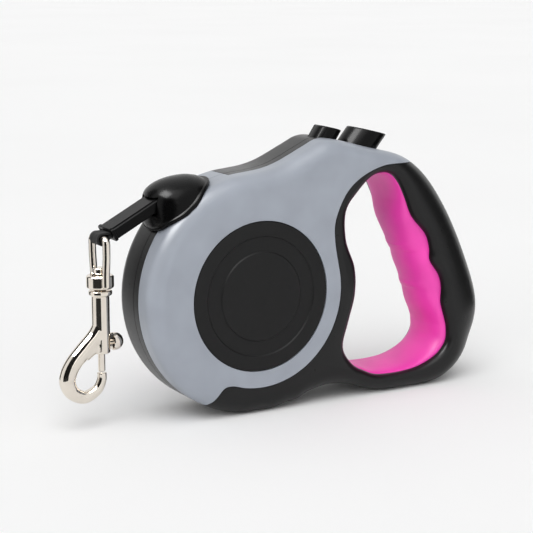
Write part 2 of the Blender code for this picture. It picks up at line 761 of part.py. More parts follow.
def tape_pieces():
    """The stiff sleeve, the tape's sewn loop inside it, and the tape that runs back over the guide pin."""
    middle = SLEEVE_END - OUT * SLEEVE_LENGTH / 2
    sleeve = solid(
        "tape_sleeve",
        strip_box(middle, OUT, SLEEVE_LENGTH, SLEEVE_WIDTH, SLEEVE_THICKNESS),
        BLACK,
        origin=(SLEEVE_END[0], 0, SLEEVE_END[1]),
    )
    lip = strip_box(
        SLEEVE_END - OUT * (SLEEVE_LIP_LENGTH / 2 - FIT),
        OUT,
        SLEEVE_LIP_LENGTH,
        SLEEVE_WIDTH + 2 * SLEEVE_LIP,
        SLEEVE_THICKNESS + 2 * SLEEVE_LIP,
    )
    boolean(sleeve, solid("sleeve_lip", lip), "UNION")
    bore_thick = SLEEVE_THICKNESS - 2 * SLEEVE_WALL
    bore_wide = SLEEVE_WIDTH - 2 * SLEEVE_WALL
    bore = strip_box(middle, OUT, SLEEVE_LENGTH + 2 * PAST, bore_wide, bore_thick)
    boolean(sleeve, solid("sleeve_bore", bore))

    turn_radius = BAR_CLEAR + TAPE_THICKNESS / 2
    wrap = pi + 2 * radians(WRAP_PAST_DEG)
    start = atan2(LIFT.y, LIFT.x) - radians(WRAP_PAST_DEG)
    upper = SLEEVE_INNER_END + LIFT * LAYER
    lower = SLEEVE_INNER_END - LIFT * LAYER
    pinch = SLEEVE_END + OUT * 2 * FIT
    route = [upper, pinch + LIFT * LAYER]
    for step in range(BEND_STEPS + 1):
        angle = start + wrap * step / BEND_STEPS
        route.append(EYE_BAR + Vector((cos(angle), sin(angle))) * turn_radius)
    route += [pinch - LIFT * LAYER, lower]
    solid("tape_loop", ribbon(route, TAPE_THICKNESS, TAPE_WIDTH), WEBBING, (SLEEVE_END[0], 0, SLEEVE_END[1]))

    pin = Vector(GUIDE_PIN)
    reach = pin.length
    leave_angle = atan2(pin.y, pin.x) - acos((WOUND_RADIUS + FIT - PIN_RADIUS) / reach)
    leave = Vector((cos(leave_angle), sin(leave_angle))) * (WOUND_RADIUS + FIT + TAPE_THICKNESS / 2)
    lift_angle = atan2(LIFT.y, LIFT.x)
    lead = [leave]
    for step in range(PIN_BEND_STEPS + 1):
        angle = leave_angle + (lift_angle - leave_angle) * step / PIN_BEND_STEPS
        lead.append(pin + Vector((cos(angle), sin(angle))) * OVER_PIN)
    lead.append(SLEEVE_INNER_END - OUT * FIT)
    solid("tape_lead", ribbon(lead, TAPE_THICKNESS, TAPE_WIDTH), WEBBING)


# Buttons
SLOPE = Vector((cos(radians(TOP_SLOPE_DEG)), -sin(radians(TOP_SLOPE_DEG))))


def sheared(base, axis, section, levels):
    """A solid with sections along the sloping top that follow a leaning axis. Levels are (height, inset)."""
    loops = []
    for height, inset in levels:
        loop = []
        for along, y in offset(section, inset):
            place = Vector(base) + SLOPE * along + axis * height
            loop.append((place.x, y, place.y))
        loops.append(loop)
    return loft(loops)


def lock_section():
    """A round cut off by a flat front."""
    edge_deg = degrees(acos(-LOCK_FRONT / LOCK_RADIUS))
    return arc(LOCK_RADIUS, -edge_deg, edge_deg, LOCK_STEPS)


def coil(name, base, axis, side, low, high, radius, turns=COIL_TURNS):
    """A small compression spring along an axis, with its turns lying along a side direction and Y."""
    loops = []
    total = turns * COIL_STEPS
    for step in range(total + 1):
        angle = 2 * pi * step / COIL_STEPS
        height = low + (high - low) * step / total
        loop = []
        for around in range(COIL_SIDES):
            turn = 2 * pi * around / COIL_SIDES
            out = radius + COIL_WIRE * cos(turn)
            lift = height + COIL_WIRE * sin(turn)
            place = Vector(base) + side * out * cos(angle) + axis * lift
            loop.append((place.x, out * sin(angle), place.y))
        loops.append(loop)
    solid(name, loft(loops), STEEL)


def button(name, base, axis, section, height, travel, stem, stem_end):
    """A button cap with a blade stem, and the well and channel that it runs in."""
    levels = [
        (-BUTTON_SKIRT, 0),
        (height - BUTTON_EDGE, 0),
        (height - BUTTON_EDGE * ROUNDED_SHARE, BUTTON_EDGE * ROUNDED_SHARE),
        (height, BUTTON_EDGE),
    ]
    cap = solid(name, sheared(base, axis, section, levels), GLOSS_BLACK, (base[0], 0, base[1]))
    start = Vector(base) - axis * BUTTON_SKIRT / 2
    end = Vector(base) - axis * stem_end
    blade = strip_box((start + end) / 2, start - end, (start - end).length, stem[1], stem[0])
    boolean(cap, solid(name + "_stem", blade), "UNION")
    floor = -BUTTON_SKIRT - travel - WELL_SPARE
    well = solid(name + "_well", sheared(base, axis, section, [(floor, -FIT), (height + PAST, -FIT)]))
    low = Vector(base) - axis * (stem_end + PAST)
    high = Vector(base) + axis * floor / 2
    slot = strip_box((low + high) / 2, high - low, (high - low).length, stem[1] + 2 * FIT, stem[0] + 2 * FIT)
    return cap, [well, solid(name + "_channel", slot)]


def pawl(brake, reach):
    """The wide foot that meets both flanges and holds the brake's stem in, and the pocket that it runs in."""
    end = Vector(BRAKE_BASE) - BRAKE_AXIS * reach
    foot = strip_box(end + BRAKE_AXIS * PAWL_HEIGHT / 2, BRAKE_AXIS, PAWL_HEIGHT, PAWL_WIDTH, BRAKE_STEM[0])
    boolean(brake, solid("pawl_foot", foot), "UNION")
    low = end - BRAKE_AXIS * PAST
    high = end + BRAKE_AXIS * (PAWL_HEIGHT + FIT)
    pocket = strip_box(
        (low + high) / 2,
        BRAKE_AXIS,
        (high - low).length,
        PAWL_WIDTH + 2 * FIT,
        BRAKE_STEM[0] + 2 * RUNNING_GAP,
    )
    return solid("pawl_pocket", pocket)


# Bolt snap, hanging from the tape's loop
SNAP_X = EYE_BAR.x
COLLAR_BASE = EYE_BAR.y - EYE_DROP - COLLAR_HEIGHT
NECK_TOP = COLLAR_BASE - NECK_GAP
BARREL_TOP = NECK_TOP - NECK_HEIGHT
BARREL_END = BARREL_TOP - BARREL_LENGTH
HOOK_TIP = BARREL_END + HOOK_ROUTE[-1][1]
SNAP_ORIGIN = (SNAP_X, 0, EYE_BAR.y)


def upright(low, high, radius, sides=SNAP_SIDES):
    """A round bar along the snap's own axis."""
    return rod((SNAP_X, 0, low), (SNAP_X, 0, high), radius, sides)


def swivel_eye():
    across = Vector((1, 0, 0))
    inner_leg = POST_HEAD_RADIUS + RUNNING_GAP + BAR_RADIUS
    collar_middle = COLLAR_BASE + COLLAR_HEIGHT / 2
    bend = BAR_RADIUS * 2
    half = [
        (inner_leg, collar_middle),
        (inner_leg, COLLAR_BASE + COLLAR_HEIGHT),
        (EYE_LEG, COLLAR_BASE + COLLAR_HEIGHT + bend),
        (EYE_LEG, EYE_BAR.y - EYE_CORNER),
        (EYE_LEG - EYE_CORNER * ROUNDED_SHARE, EYE_BAR.y - EYE_CORNER * ROUNDED_SHARE),
        (EYE_LEG - EYE_CORNER, EYE_BAR.y),
    ]
    route = [Vector((SNAP_X, -y, z)) for y, z in half]
    route += [Vector((SNAP_X, y, z)) for y, z in half[::-1]]
    bar = tube(route, [BAR_RADIUS] * len(route), EYE_SIDES, across)
    eye = solid("swivel_eye", bar, NICKEL, SNAP_ORIGIN)
    collar = upright(COLLAR_BASE, COLLAR_BASE + COLLAR_HEIGHT, COLLAR_RADIUS, COLLAR_SIDES)
    boolean(eye, solid("eye_collar", collar), "UNION")
    bore = upright(COLLAR_BASE - PAST, COLLAR_BASE + COLLAR_HEIGHT + PAST, POST_RADIUS + FIT, COLLAR_SIDES)
    boolean(eye, solid("eye_bore", bore))


def hook_pieces():
    route = [Vector((SNAP_X + x, 0, BARREL_END + z)) for x, z, _ in HOOK_ROUTE]
    smooth = spline([route[0]] + route + [route[-1]], HOOK_STEPS)
    sizes = [(radius,) for _, _, radius in HOOK_ROUTE]
    radii = [value[0] for value in spline([sizes[0]] + sizes + [sizes[-1]], HOOK_STEPS)]
    bend = tube([Vector(point) for point in smooth], radii, HOOK_SIDES, Vector((0, 1, 0)))
    hook = solid("hook_body", bend, NICKEL, SNAP_ORIGIN)
    barrel = solid("hook_barrel", upright(BARREL_END, BARREL_TOP + FIT, BARREL_RADIUS, COLLAR_SIDES))
    neck = solid("hook_neck", upright(BARREL_TOP, NECK_TOP, NECK_RADIUS, COLLAR_SIDES))
    head_low = COLLAR_BASE + COLLAR_HEIGHT + FIT
    post = solid("hook_post", upright(NECK_TOP - FIT, head_low + FIT, POST_RADIUS))
    head = solid("hook_head", upright(head_low, head_low + POST_HEAD_HEIGHT, POST_HEAD_RADIUS))
    for piece in (barrel, neck, post, head):
        boolean(hook, piece, "UNION")

    rod_top = BARREL_END + BOLT_ABOVE
    bore_top = rod_top + BOLT_TRAVEL + BOLT_SPARE
    boolean(hook, solid("bolt_bore", upright(HOOK_TIP + FIT, bore_top, BOLT_RADIUS + FIT)))
    knob_z = BARREL_END + KNOB_RISE
    slot_half = KNOB_STEM_RADIUS + FIT
    slot = [
        (SNAP_X, HOOK_TIP + PAST),
        (SNAP_X + BARREL_RADIUS + PAST, HOOK_TIP + PAST),
        (SNAP_X + BARREL_RADIUS + PAST, knob_z + BOLT_TRAVEL + slot_half),
        (SNAP_X, knob_z + BOLT_TRAVEL + slot_half),
    ]
    boolean(hook, solid("bolt_slot", prism(slot, -slot_half, slot_half)))

    bolt = solid("snap_bolt", upright(HOOK_TIP + 2 * FIT, rod_top, BOLT_RADIUS), NICKEL, SNAP_ORIGIN)
    stem_end = SNAP_X + KNOB_BACK + FIT
    stem = rod((SNAP_X, 0, knob_z), (stem_end, 0, knob_z), KNOB_STEM_RADIUS, KNOB_SIDES)
    boolean(bolt, solid("knob_stem", stem), "UNION")
    loops = []
    for part, share in KNOB_PROFILE:
        x = SNAP_X + KNOB_BACK + part * KNOB_THICKNESS
        circle = arc(KNOB_RADIUS * share, 0, 360 - 360 / KNOB_SIDES, KNOB_SIDES - 1, (0, knob_z))
        loops.append([(x, y, z) for y, z in circle])
    boolean(bolt, solid("knob", loft(loops)), "UNION")
    low = COIL_WIRE + FIT
    high = bore_top - rod_top - COIL_WIRE - FIT
    coil(
        "bolt_spring",
        (SNAP_X, rod_top),
        Vector((0, 1)),
        Vector((1, 0)),
        low,
        high,
        BOLT_RADIUS - COIL_WIRE,
        BOLT_COIL_TURNS,
    )


def disc_plate(name, side):
    """A round plate let into the cover, stepped down towards its middle."""
    face = CASE_HALF_DEPTH
    back = CASE_HALF_DEPTH - COVER_WALL
    profile = [(DISC_RADIUS, back), (DISC_RADIUS, face)]
    depth = face
    for radius in DISC_RINGS:
        profile.append((radius + DISC_STEP, depth))
        depth -= DISC_STEP
        profile.append((radius, depth))
    loops = []
    for radius, y in profile:
        circle = arc(radius, 0, 360 - 360 / DISC_SIDES, DISC_SIDES - 1)
        loops.append([(x, side * y, z) for x, z in circle])
    solid(name, loft(loops), BLACK)


# Assembly
hole = hole_cutter()
slot = grip_slot()
cavity_end = CAVITY_HALF_DEPTH
cavity = solid("reel_cavity", rod((0, -cavity_end, 0), (0, cavity_end, 0), CAVITY_RADIUS, CAVITY_SIDES))
seat_end = CAVITY_HALF_DEPTH + AXLE_SEAT
axle_seat = solid("axle_seat", rod((0, -seat_end, 0), (0, seat_end, 0), AXLE_RADIUS + FIT, AXLE_SIDES))

brake_section = arc(BRAKE_RADIUS, 0, 360 - 360 / BUTTON_SIDES, BUTTON_SIDES - 1)
brake_reach = (Vector(BRAKE_BASE) - brake_meets(FLANGE_RADIUS + RUNNING_GAP)).length
lock_axis = heading(LOCK_LEAN_DEG)
brake_button, wells = button(
    "brake_button", BRAKE_BASE, BRAKE_AXIS, brake_section, BRAKE_HEIGHT, BRAKE_TRAVEL, BRAKE_STEM, brake_reach
)
lock_button, lock_wells = button(
    "lock_button", LOCK_BASE, lock_axis, lock_section(), LOCK_HEIGHT, LOCK_TRAVEL, LOCK_STEM, LOCK_STEM_LENGTH
)
wells += lock_wells
slit = tape_slot()
case_cuts = [hole, slot, cavity, axle_seat, slit, pawl(brake_button, brake_reach)] + wells
for name, base, axis, travel, stem in (
    ("brake_spring", BRAKE_BASE, BRAKE_AXIS, BRAKE_TRAVEL, BRAKE_STEM),
    ("lock_spring", LOCK_BASE, lock_axis, LOCK_TRAVEL, LOCK_STEM),
):
    floor = -BUTTON_SKIRT - travel - WELL_SPARE
    low = floor + COIL_WIRE + FIT
    high = -BUTTON_SKIRT - COIL_WIRE - FIT
    coil(name, base, axis, SLOPE, low, high, hypot(*stem) / 2 + COIL_WIRE + 2 * FIT)

for i, (x, z) in enumerate(SCREWS):
    outside = (x, CASE_HALF_DEPTH + PAST, z)
    hole_tool = rod((x, -SCREW_REACH - FIT, z), outside, SCREW_RADIUS + FIT, SCREW_SIDES)
    case_cuts.append(solid(f"screw_hole_{i + 1}", hole_tool))

for name, side in (("left", -1), ("right", 1)):
    shell = solid(f"{name}_shell", case_half(side, 0, FIT / 2), BLACK)
    pocket = cover_region(f"{name}_cover_pocket", side, FIT)
    boolean(pocket, solid(f"{name}_pocket_floor", case_half(side, COVER_WALL + FIT, FIT / 4)))
    boolean(shell, pocket)
    for tool in case_cuts:
        boolean(shell, tool)
    cover = solid(f"{name}_cover", case_half(side, 0, FIT / 2), GREY)
    boolean(cover, cover_region(f"{name}_cover_edge", side, 0), "INTERSECT")
    boolean(cover, solid(f"{name}_cover_inside", case_half(side, COVER_WALL, FIT / 4)))
    plate_hole = rod((0, 0, 0), (0, side * OUTSIDE, 0), DISC_RADIUS + FIT, DISC_SIDES)
    boolean(cover, solid(f"{name}_disc_hole", plate_hole))
    for tool in wells + [slit]:
        boolean(cover, tool)
    disc_plate(f"{name}_disc", side)

right_shell = bpy.data.objects["right_shell"]
for i, (x, z) in enumerate(SCREWS):
    outside = (x, CASE_HALF_DEPTH + PAST, z)
    bore = rod((x, SCREW_SEAT, z), outside, SCREW_HEAD_RADIUS + FIT, SCREW_SIDES)
    boolean(right_shell, solid(f"screw_bore_{i + 1}", bore))
    low = SCREW_SEAT + FIT
    shank = rod((x, -SCREW_REACH, z), (x, low + FIT, z), SCREW_RADIUS, SCREW_SIDES)
    screw = solid(f"case_screw_{i + 1}", shank, STEEL)
    head = rod((x, low, z), (x, low + SCREW_HEAD_HEIGHT, z), SCREW_HEAD_RADIUS, SCREW_SIDES)
    boolean(screw, solid(f"screw_head_{i + 1}", head), "UNION")

grip_piece()
reel_pieces()
nose_piece()
tape_pieces()
swivel_eye()
hook_pieces()

# The origin is under the middle of the whole leash
handle_reach = max(x for x, z in CASE_OUTLINE)
hook = bpy.data.objects["hook_body"]
hook_reach = hook.location.x + min(vertex.co.x for vertex in hook.data.vertices)
leash.location = (-(handle_reach + hook_reach) / 2, 0, AXIS_HEIGHT)
print("reel axis x", round(leash.location.x, 5), "eye bar", round(EYE_BAR.x, 6), round(EYE_BAR.y, 6))
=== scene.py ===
"""The leash dressed for its photograph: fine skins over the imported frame, finishes, a pale floor and light.

Metres, +Z up. Outlines are drawn in the (x, z) plane, measured from the reel axis, and moved home at the end.
"""

from math import acos, atan2, cos, degrees, hypot, pi, radians, sin

import bmesh
import bpy
from mathutils import Matrix, Vector


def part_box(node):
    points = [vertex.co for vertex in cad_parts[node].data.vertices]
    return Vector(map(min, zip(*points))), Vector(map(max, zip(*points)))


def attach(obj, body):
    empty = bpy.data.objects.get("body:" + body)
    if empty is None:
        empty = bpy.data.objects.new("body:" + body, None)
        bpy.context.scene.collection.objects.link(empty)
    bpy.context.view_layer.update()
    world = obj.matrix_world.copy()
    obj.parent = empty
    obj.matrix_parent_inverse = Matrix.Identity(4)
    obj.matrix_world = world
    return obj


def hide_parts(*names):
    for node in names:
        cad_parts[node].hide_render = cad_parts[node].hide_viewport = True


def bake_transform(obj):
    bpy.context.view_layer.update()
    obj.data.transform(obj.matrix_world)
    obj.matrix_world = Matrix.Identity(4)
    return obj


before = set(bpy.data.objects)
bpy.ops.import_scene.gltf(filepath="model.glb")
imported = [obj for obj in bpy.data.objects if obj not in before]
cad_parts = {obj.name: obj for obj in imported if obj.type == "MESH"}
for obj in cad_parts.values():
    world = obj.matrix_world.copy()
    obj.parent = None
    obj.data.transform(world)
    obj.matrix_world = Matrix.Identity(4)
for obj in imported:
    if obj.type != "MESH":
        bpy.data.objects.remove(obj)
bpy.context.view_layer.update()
AXLE_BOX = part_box("reel_axle")
HOME = Vector(((AXLE_BOX[0][0] + AXLE_BOX[1][0]) / 2, 0, (AXLE_BOX[0][2] + AXLE_BOX[1][2]) / 2))

# Fits
FIT = 0.0003
RUNNING_GAP = 0.0004
PAST = 0.004
WELD = 0.00002
ROUND_SIDES = 32
FINE_SIDES = 48

# Case
AXIS_HEIGHT = 0.051
CASE_RADIUS = 0.0515
CASE_HALF_DEPTH = 0.017
SHOULDER_RADIUS = 0.007
HANDLE_EXTRA_ACROSS = 0.011
HANDLE_EXTRA_DEEP = 0.006
HANDLE_START = (0.066, 0.098)
HANDLE_FOOT = (-0.050, -0.030)
CASE_ARC_DEG = (94, 286)
ARC_STEPS = 96
SPLINE_STEPS = 6
SHOULDER_STEPS = 10
UNDERSIDE = [
    (0.0200, -0.0486), (0.0262, -0.0460), (0.0370, -0.0444), (0.0480, -0.0462), (0.0560, -0.0490),
]
HANDLE_BACK = [
    (0.0650, -0.0508), (0.0745, -0.0514), (0.0845, -0.0513), (0.0980, -0.0488), (0.1110, -0.0400),
    (0.1185, -0.0270), (0.1195, -0.0130), (0.1125, 0.0070), (0.1020, 0.0280), (0.0900, 0.0440),
    (0.0750, 0.0540),
]
TOP = [
    (0.0550, 0.0594), (0.0405, 0.0632), (0.0335, 0.0634), (0.0263, 0.0603), (0.0144, 0.0549),
    (0.0060, 0.0525),
]
CAVITY_RADIUS = 0.047
CAVITY_HALF_DEPTH = 0.0128
CAVITY_SIDES = 96
AXLE_SEAT_RADIUS = 0.0043
AXLE_SEAT_DEPTH = 0.001

# Covers and round plates
COVER_WALL = 0.0016
COVER_EDGE = 0.0046
FAR_COVER_EDGE = 0.0138
COVER_ARC_RADIUS = 0.0394
COVER_ARC_DEG = (257, 374)
COVER_ARC_STEPS = 48
COVER_TAIL = [(-0.0300, -0.0500), (-0.0236, -0.0435), (-0.0185, -0.0378), (-0.0140, -0.0370)]
COVER_RISE = [
    (0.0363, 0.0205), (0.0366, 0.0295), (0.0415, 0.0400), (0.0487, 0.0466), (0.0585, 0.0508),
    (0.0680, 0.0518), (0.0900, 0.0505),
]
SADDLE_TAB = (-0.0225, -0.0090)
DISC_RADIUS = 0.032
DISC_EDGE = 0.0003
DISC_BEVEL_SHARE = 0.3
DISC_RINGS = ((0.0254, -0.0005), (0.0188, 0.0005))
DISC_SIDES = 128

# Hand hole and grip
HOLE_LEFT = [
    (0.0423, -0.0274), (0.0450, -0.0164), (0.0483, -0.0044), (0.0480, 0.0076), (0.0435, 0.0196),
    (0.0432, 0.0322), (0.0487, 0.0400),
]
GRIP_EDGE = [
    (0.0567, 0.0468), (0.0650, 0.0476), (0.0703, 0.0436), (0.0744, 0.0363), (0.0785, 0.0272),
    (0.0860, 0.0188), (0.0885, 0.0119), (0.0890, 0.0062), (0.0940, -0.0010), (0.0955, -0.0068),
    (0.0954, -0.0136), (0.0975, -0.0207), (0.0987, -0.0254), (0.0982, -0.0323), (0.0922, -0.0384),
    (0.0800, -0.0425), (0.0627, -0.0428), (0.0534, -0.0396), (0.0469, -0.0353),
]
GRIP_CROWN = [
    0.0010, 0.0014, 0.0016, 0.0026, 0.0064, 0.0104, 0.0096, 0.0074,
    0.0100, 0.0096, 0.0064, 0.0048, 0.0048, 0.0048, 0.0040, 0.0024,
    0.0019, 0.0016, 0.0010,
]
GRIP_HALF_WIDTH = 0.013
GRIP_ROOT = 0.0018
GRIP_ARC_STEPS = 28
SLOT_SLIDE = 0.0001
HOLE_LIP = 0.0035
HOLE_LIP_DEG = (75, 62, 50, 38, 26, 13, 0)
HOLE_FLARE = 0.0003
HOLE_STEPS = 6

# Tape and its outlet
TAPE_WIDTH = 0.0076
TAPE_THICKNESS = 0.0011
WOUND_RADIUS = 0.0418
HUB_RADIUS = 0.024
WOUND_SIDES = 96
WOUND_LAYER = ((0.06, 0.0003), (0.25, 0), (0.75, 0), (0.94, 0.0003))
TAPE_SLIT = 0.0035
SLEEVE_TILT_DEG = 27.7
SLEEVE_PAST_PIN = 0.0049
SLEEVE_LENGTH = 0.0268
SLEEVE_WIDTH = 0.0126
SLEEVE_THICKNESS = 0.0049
SLEEVE_WALL = 0.0010
SLEEVE_LIP = 0.0004
SLEEVE_CORNER = 0.0006
SLEEVE_TOP_CORNER = 0.0008
SLEEVE_CORNER_STEPS = 5
SLEEVE_TOP_STEPS = 6
SLEEVE_PANEL_RISE = 0.00045
SLEEVE_PANEL_INSET = (0.0012, 0.0014)
SLEEVE_STATIONS = [
    (0, -0.0003),
    (0.0003, 0),
    (SLEEVE_LENGTH - 0.0011, 0),
    (SLEEVE_LENGTH - 0.0009, SLEEVE_LIP),
    (SLEEVE_LENGTH + 0.0001, SLEEVE_LIP),
    (SLEEVE_LENGTH + 0.0003, SLEEVE_LIP / 2),
]
NOSE_TOP = [
    (-0.0218, 0.0504), (-0.0266, 0.0514), (-0.0335, 0.0509), (-0.0390, 0.0492), (-0.0428, 0.0464),
    (-0.0442, 0.0425), (-0.0442, 0.0365), (-0.0436, 0.0320),
]
NOSE_ARC_DEG = (144.9, 109.9)
NOSE_HALF_WIDTH = 0.0144
NOSE_SKIN = 0.00015
NOSE_WALL = 0.0018
NOSE_FLANGE = 0.0016
NOSE_FLANGE_HALF = 0.01505
NOSE_FLANGE_REACH = 0.96
NOSE_FLANGE_EDGE = 0.0004
NOSE_FLANGE_EDGE_DEG = 40
NOSE_FLANGE_EDGE_STEPS = 3
NOSE_MIDDLE_DEG = 128.9
NOSE_REACH_DEG = (19.8, 16.9)
NOSE_REACH_POWER = (1.9, 2.5)
NOSE_DOME = 0.96
NOSE_DOME_REACH = 0.95
NOSE_EDGE = 0.0034
NOSE_SLICES = 32
NOSE_FOOT_STEPS = 40
NOSE_CHAMBER_FOOT = (8, 16, 24, 32)
PIN_SEAT = 0.002
PIN_RADIUS = 0.0016
GUIDE_PIN = Vector((-0.0335, 0.0428))
OUT = Vector((-cos(radians(SLEEVE_TILT_DEG)), -sin(radians(SLEEVE_TILT_DEG))))
LIFT = Vector((OUT.y, -OUT.x))
OVER_PIN = PIN_RADIUS + FIT + TAPE_THICKNESS / 2
SLEEVE_INNER_END = GUIDE_PIN + OUT * SLEEVE_PAST_PIN + LIFT * OVER_PIN
SLEEVE_END = SLEEVE_INNER_END + OUT * SLEEVE_LENGTH
LAYER = TAPE_THICKNESS / 2 + FIT / 2
LOOP_THICKNESS = 0.00095
LOOP_PAST_HALF_DEG = 25
LOOP_STEPS = 32
LOOP_SPACING = 0.0005
RUN_SPACING = 0.0002
PIN_STEPS = 8
TAPE_RIBS = 14
RIB_RISE = 0.00007
SELVEDGE_SHARE = 0.6

# Buttons
TOP_SLOPE_DEG = 14.5
BUTTON_SIDES = 72
BRAKE_BASE = Vector((0.0577, 0.0587))
BRAKE_LEAN_DEG = 40
BRAKE_RADIUS = 0.0088
BRAKE_HEIGHT = 0.0084
BRAKE_TRAVEL = 0.003
BRAKE_STEM = (0.0036, 0.0080)
FLANGE_RADIUS = 0.0455
PAWL_WIDTH = 0.0124
PAWL_HEIGHT = 0.0040
LOCK_BASE = Vector((0.0400, 0.0632))
LOCK_LEAN_DEG = 34
LOCK_RADIUS = 0.0060
LOCK_FRONT = 0.0047
LOCK_HEIGHT = 0.0052
LOCK_TRAVEL = 0.0025
LOCK_STEM = (0.0036, 0.0060)
LOCK_STEM_LENGTH = 0.0090
BUTTON_SKIRT = 0.0022
BUTTON_EDGE = 0.0007
BUTTON_EDGE_STEPS = 5
WELL_SPARE = 0.0022

# Bolt snap
BAR_RADIUS = 0.0016
BAR_CLEAR = BAR_RADIUS + FIT
EYE_BAR = SLEEVE_END + OUT * (BAR_CLEAR + 2 * TAPE_THICKNESS)
EYE_LEG = 0.0069
EYE_FOOT = 0.0060
EYE_CORNER = 0.0017
EYE_CORNER_STEPS = 8
EYE_BAR_MIDDLE = 0.001
EYE_DROP = 0.0150
EYE_VOXEL = 0.00022
COLLAR_RADIUS = 0.0057
COLLAR_HEIGHT = 0.0055
COLLAR_EDGE = 0.0006
COLLAR_SIDES = 64
POST_RADIUS = 0.0023
POST_EDGE = 0.0001
POST_BORE_ABOVE = 0.0035
POST_HEAD_RADIUS = 0.00295
POST_HEAD_HEIGHT = 0.0028
POST_HEAD_EDGE = 0.0005
POST_HEAD_ROOM = 0.004
NECK_GAP = 0.0008
NECK_RADIUS = 0.0049
NECK_HEIGHT = 0.0021
NECK_EDGE = 0.0004
BARREL_RADIUS = 0.0037
BARREL_EDGE = 0.0003
BARREL_LENGTH = 0.0243
HOOK_ROUTE = [
    (0.0004, 0.0156, 0.00250), (-0.0003, 0.0118, 0.00310), (-0.0026, 0.0074, 0.00345),
    (-0.0074, 0.0024, 0.00355), (-0.0122, -0.0026, 0.00345), (-0.0149, -0.0074, 0.00345),
    (-0.0152, -0.0114, 0.00340), (-0.0130, -0.0154, 0.00310), (-0.0080, -0.0178, 0.00270),
    (-0.0026, -0.0156, 0.00230), (-0.0003, -0.0119, 0.00205), (0.0000, -0.0083, 0.00195),
]
WEB_ROUTE = [(0.0004, 0.0036), (-0.0024, 0.0033), (-0.0050, 0.0022), (-0.0080, -0.0001)]
WEB_RADII = [0.0029, 0.0030, 0.0031, 0.0030]
HOOK_VOXEL = 0.00025
SMOOTH_TURNS = 5
SMOOTH_SHARE = 0.5
BOLT_RADIUS = 0.0015
BOLT_EDGE = 0.0002
BOLT_TRAVEL = 0.009
BOLT_ABOVE = 0.0090
BOLT_SPARE = 0.003
KNOB_RADIUS = 0.00375
KNOB_BACK = 0.0046
KNOB_THICKNESS = 0.0050
KNOB_RIM = 0.0013
KNOB_EDGE = 0.0003
KNOB_MIDDLE = 0.0002
KNOB_STEPS = 13
KNOB_RISE = 0.0042
KNOB_STEM_RADIUS = 0.0012
SNAP_X = EYE_BAR.x
COLLAR_BASE = EYE_BAR.y - EYE_DROP - COLLAR_HEIGHT
COLLAR_TOP = COLLAR_BASE + COLLAR_HEIGHT
EYE_KNOTS = [
    (EYE_FOOT, COLLAR_BASE + 0.0010),
    (EYE_FOOT, COLLAR_BASE + 0.0010),
    (EYE_FOOT, COLLAR_TOP - 0.0005),
    (EYE_FOOT + 0.0003, COLLAR_TOP + 0.0030),
    (EYE_LEG - 0.0001, COLLAR_TOP + 0.0075),
    (EYE_LEG, EYE_BAR.y - 2 * EYE_CORNER),
    (EYE_LEG, EYE_BAR.y - EYE_CORNER),
    (EYE_LEG, EYE_BAR.y - EYE_CORNER),
]
NECK_TOP = COLLAR_BASE - NECK_GAP
BARREL_TOP = NECK_TOP - NECK_HEIGHT
BARREL_END = BARREL_TOP - BARREL_LENGTH
HOOK_TIP = BARREL_END + HOOK_ROUTE[-1][1]
SNAP_SIDES = 40
HOOK_STEPS = 10

# Case screws
SCREWS = [(0.0776, 0.0453), (0.1080, -0.0100), (0.1030, -0.0385), (0.0385, -0.0385)]
SCREW_RADIUS = 0.0015
SCREW_HEAD_RADIUS = 0.0028
SCREW_HEAD_HEIGHT = 0.0018
SCREW_SEAT = 0.0105
SCREW_REACH = 0.008
SCREW_HOLE_SIDES = 24
SCREW_TIP_RADIUS = 0.0006
SCREW_TIP_LENGTH = 0.0012
SCREW_RIM_SHARE = 0.45
SCREW_DOME_STEPS = 7
SCREW_CROSS = (0.0016, 0.00035)
SCREW_CROSS_DEPTH = 0.0010

# Camera, from the photograph's perspective
CAMERA_FROM_REEL = Vector((-0.3284, -0.5855, 0.1437))
CAMERA_TILT_DEG = 78.74
CAMERA_TURN_DEG = -30.18
CAMERA_LENS = 108.07
SENSOR_WIDTH = 36

# Floor and light. Suns are (name, strength, spread, tilt, turn), in degrees.
# Cards are (name, turns about the snap in degrees, nearest edge).
FLOOR_HALF = 30
FLOOR_DEPTH = 1
FLOOR_SHADES = ((0.94, 0.94, 0.94), (0.96, 0.96, 0.96))
WORLD_LIGHT = 0.55
WORLD_SEEN = 0.94
SUNS = (("key", 1.2, 50, 26, -35), ("fill", 0.9, 60, 72, -45))
SOFTBOX_FROM_REEL = Vector((-0.46, 0.0, 0.72))
SOFTBOX_POWER = 14
SOFTBOX_SIZE = 0.5
CARDS = (
    ("card_front", (-54, 12), 0.13),
    ("card_side", (92, 128), 0.34),
    ("card_left", (-128, -104), 0.13),
)
CARD_FAR = 1.4
CARD_HEIGHT = 1.5
CARD_LEVELS = (0.0004, 0.0008)
CARD_WALL = 0.004
CARD_STEPS = 12


def fill(node, values):
    for socket, value in values.items():
        node.inputs[socket].default_value = value


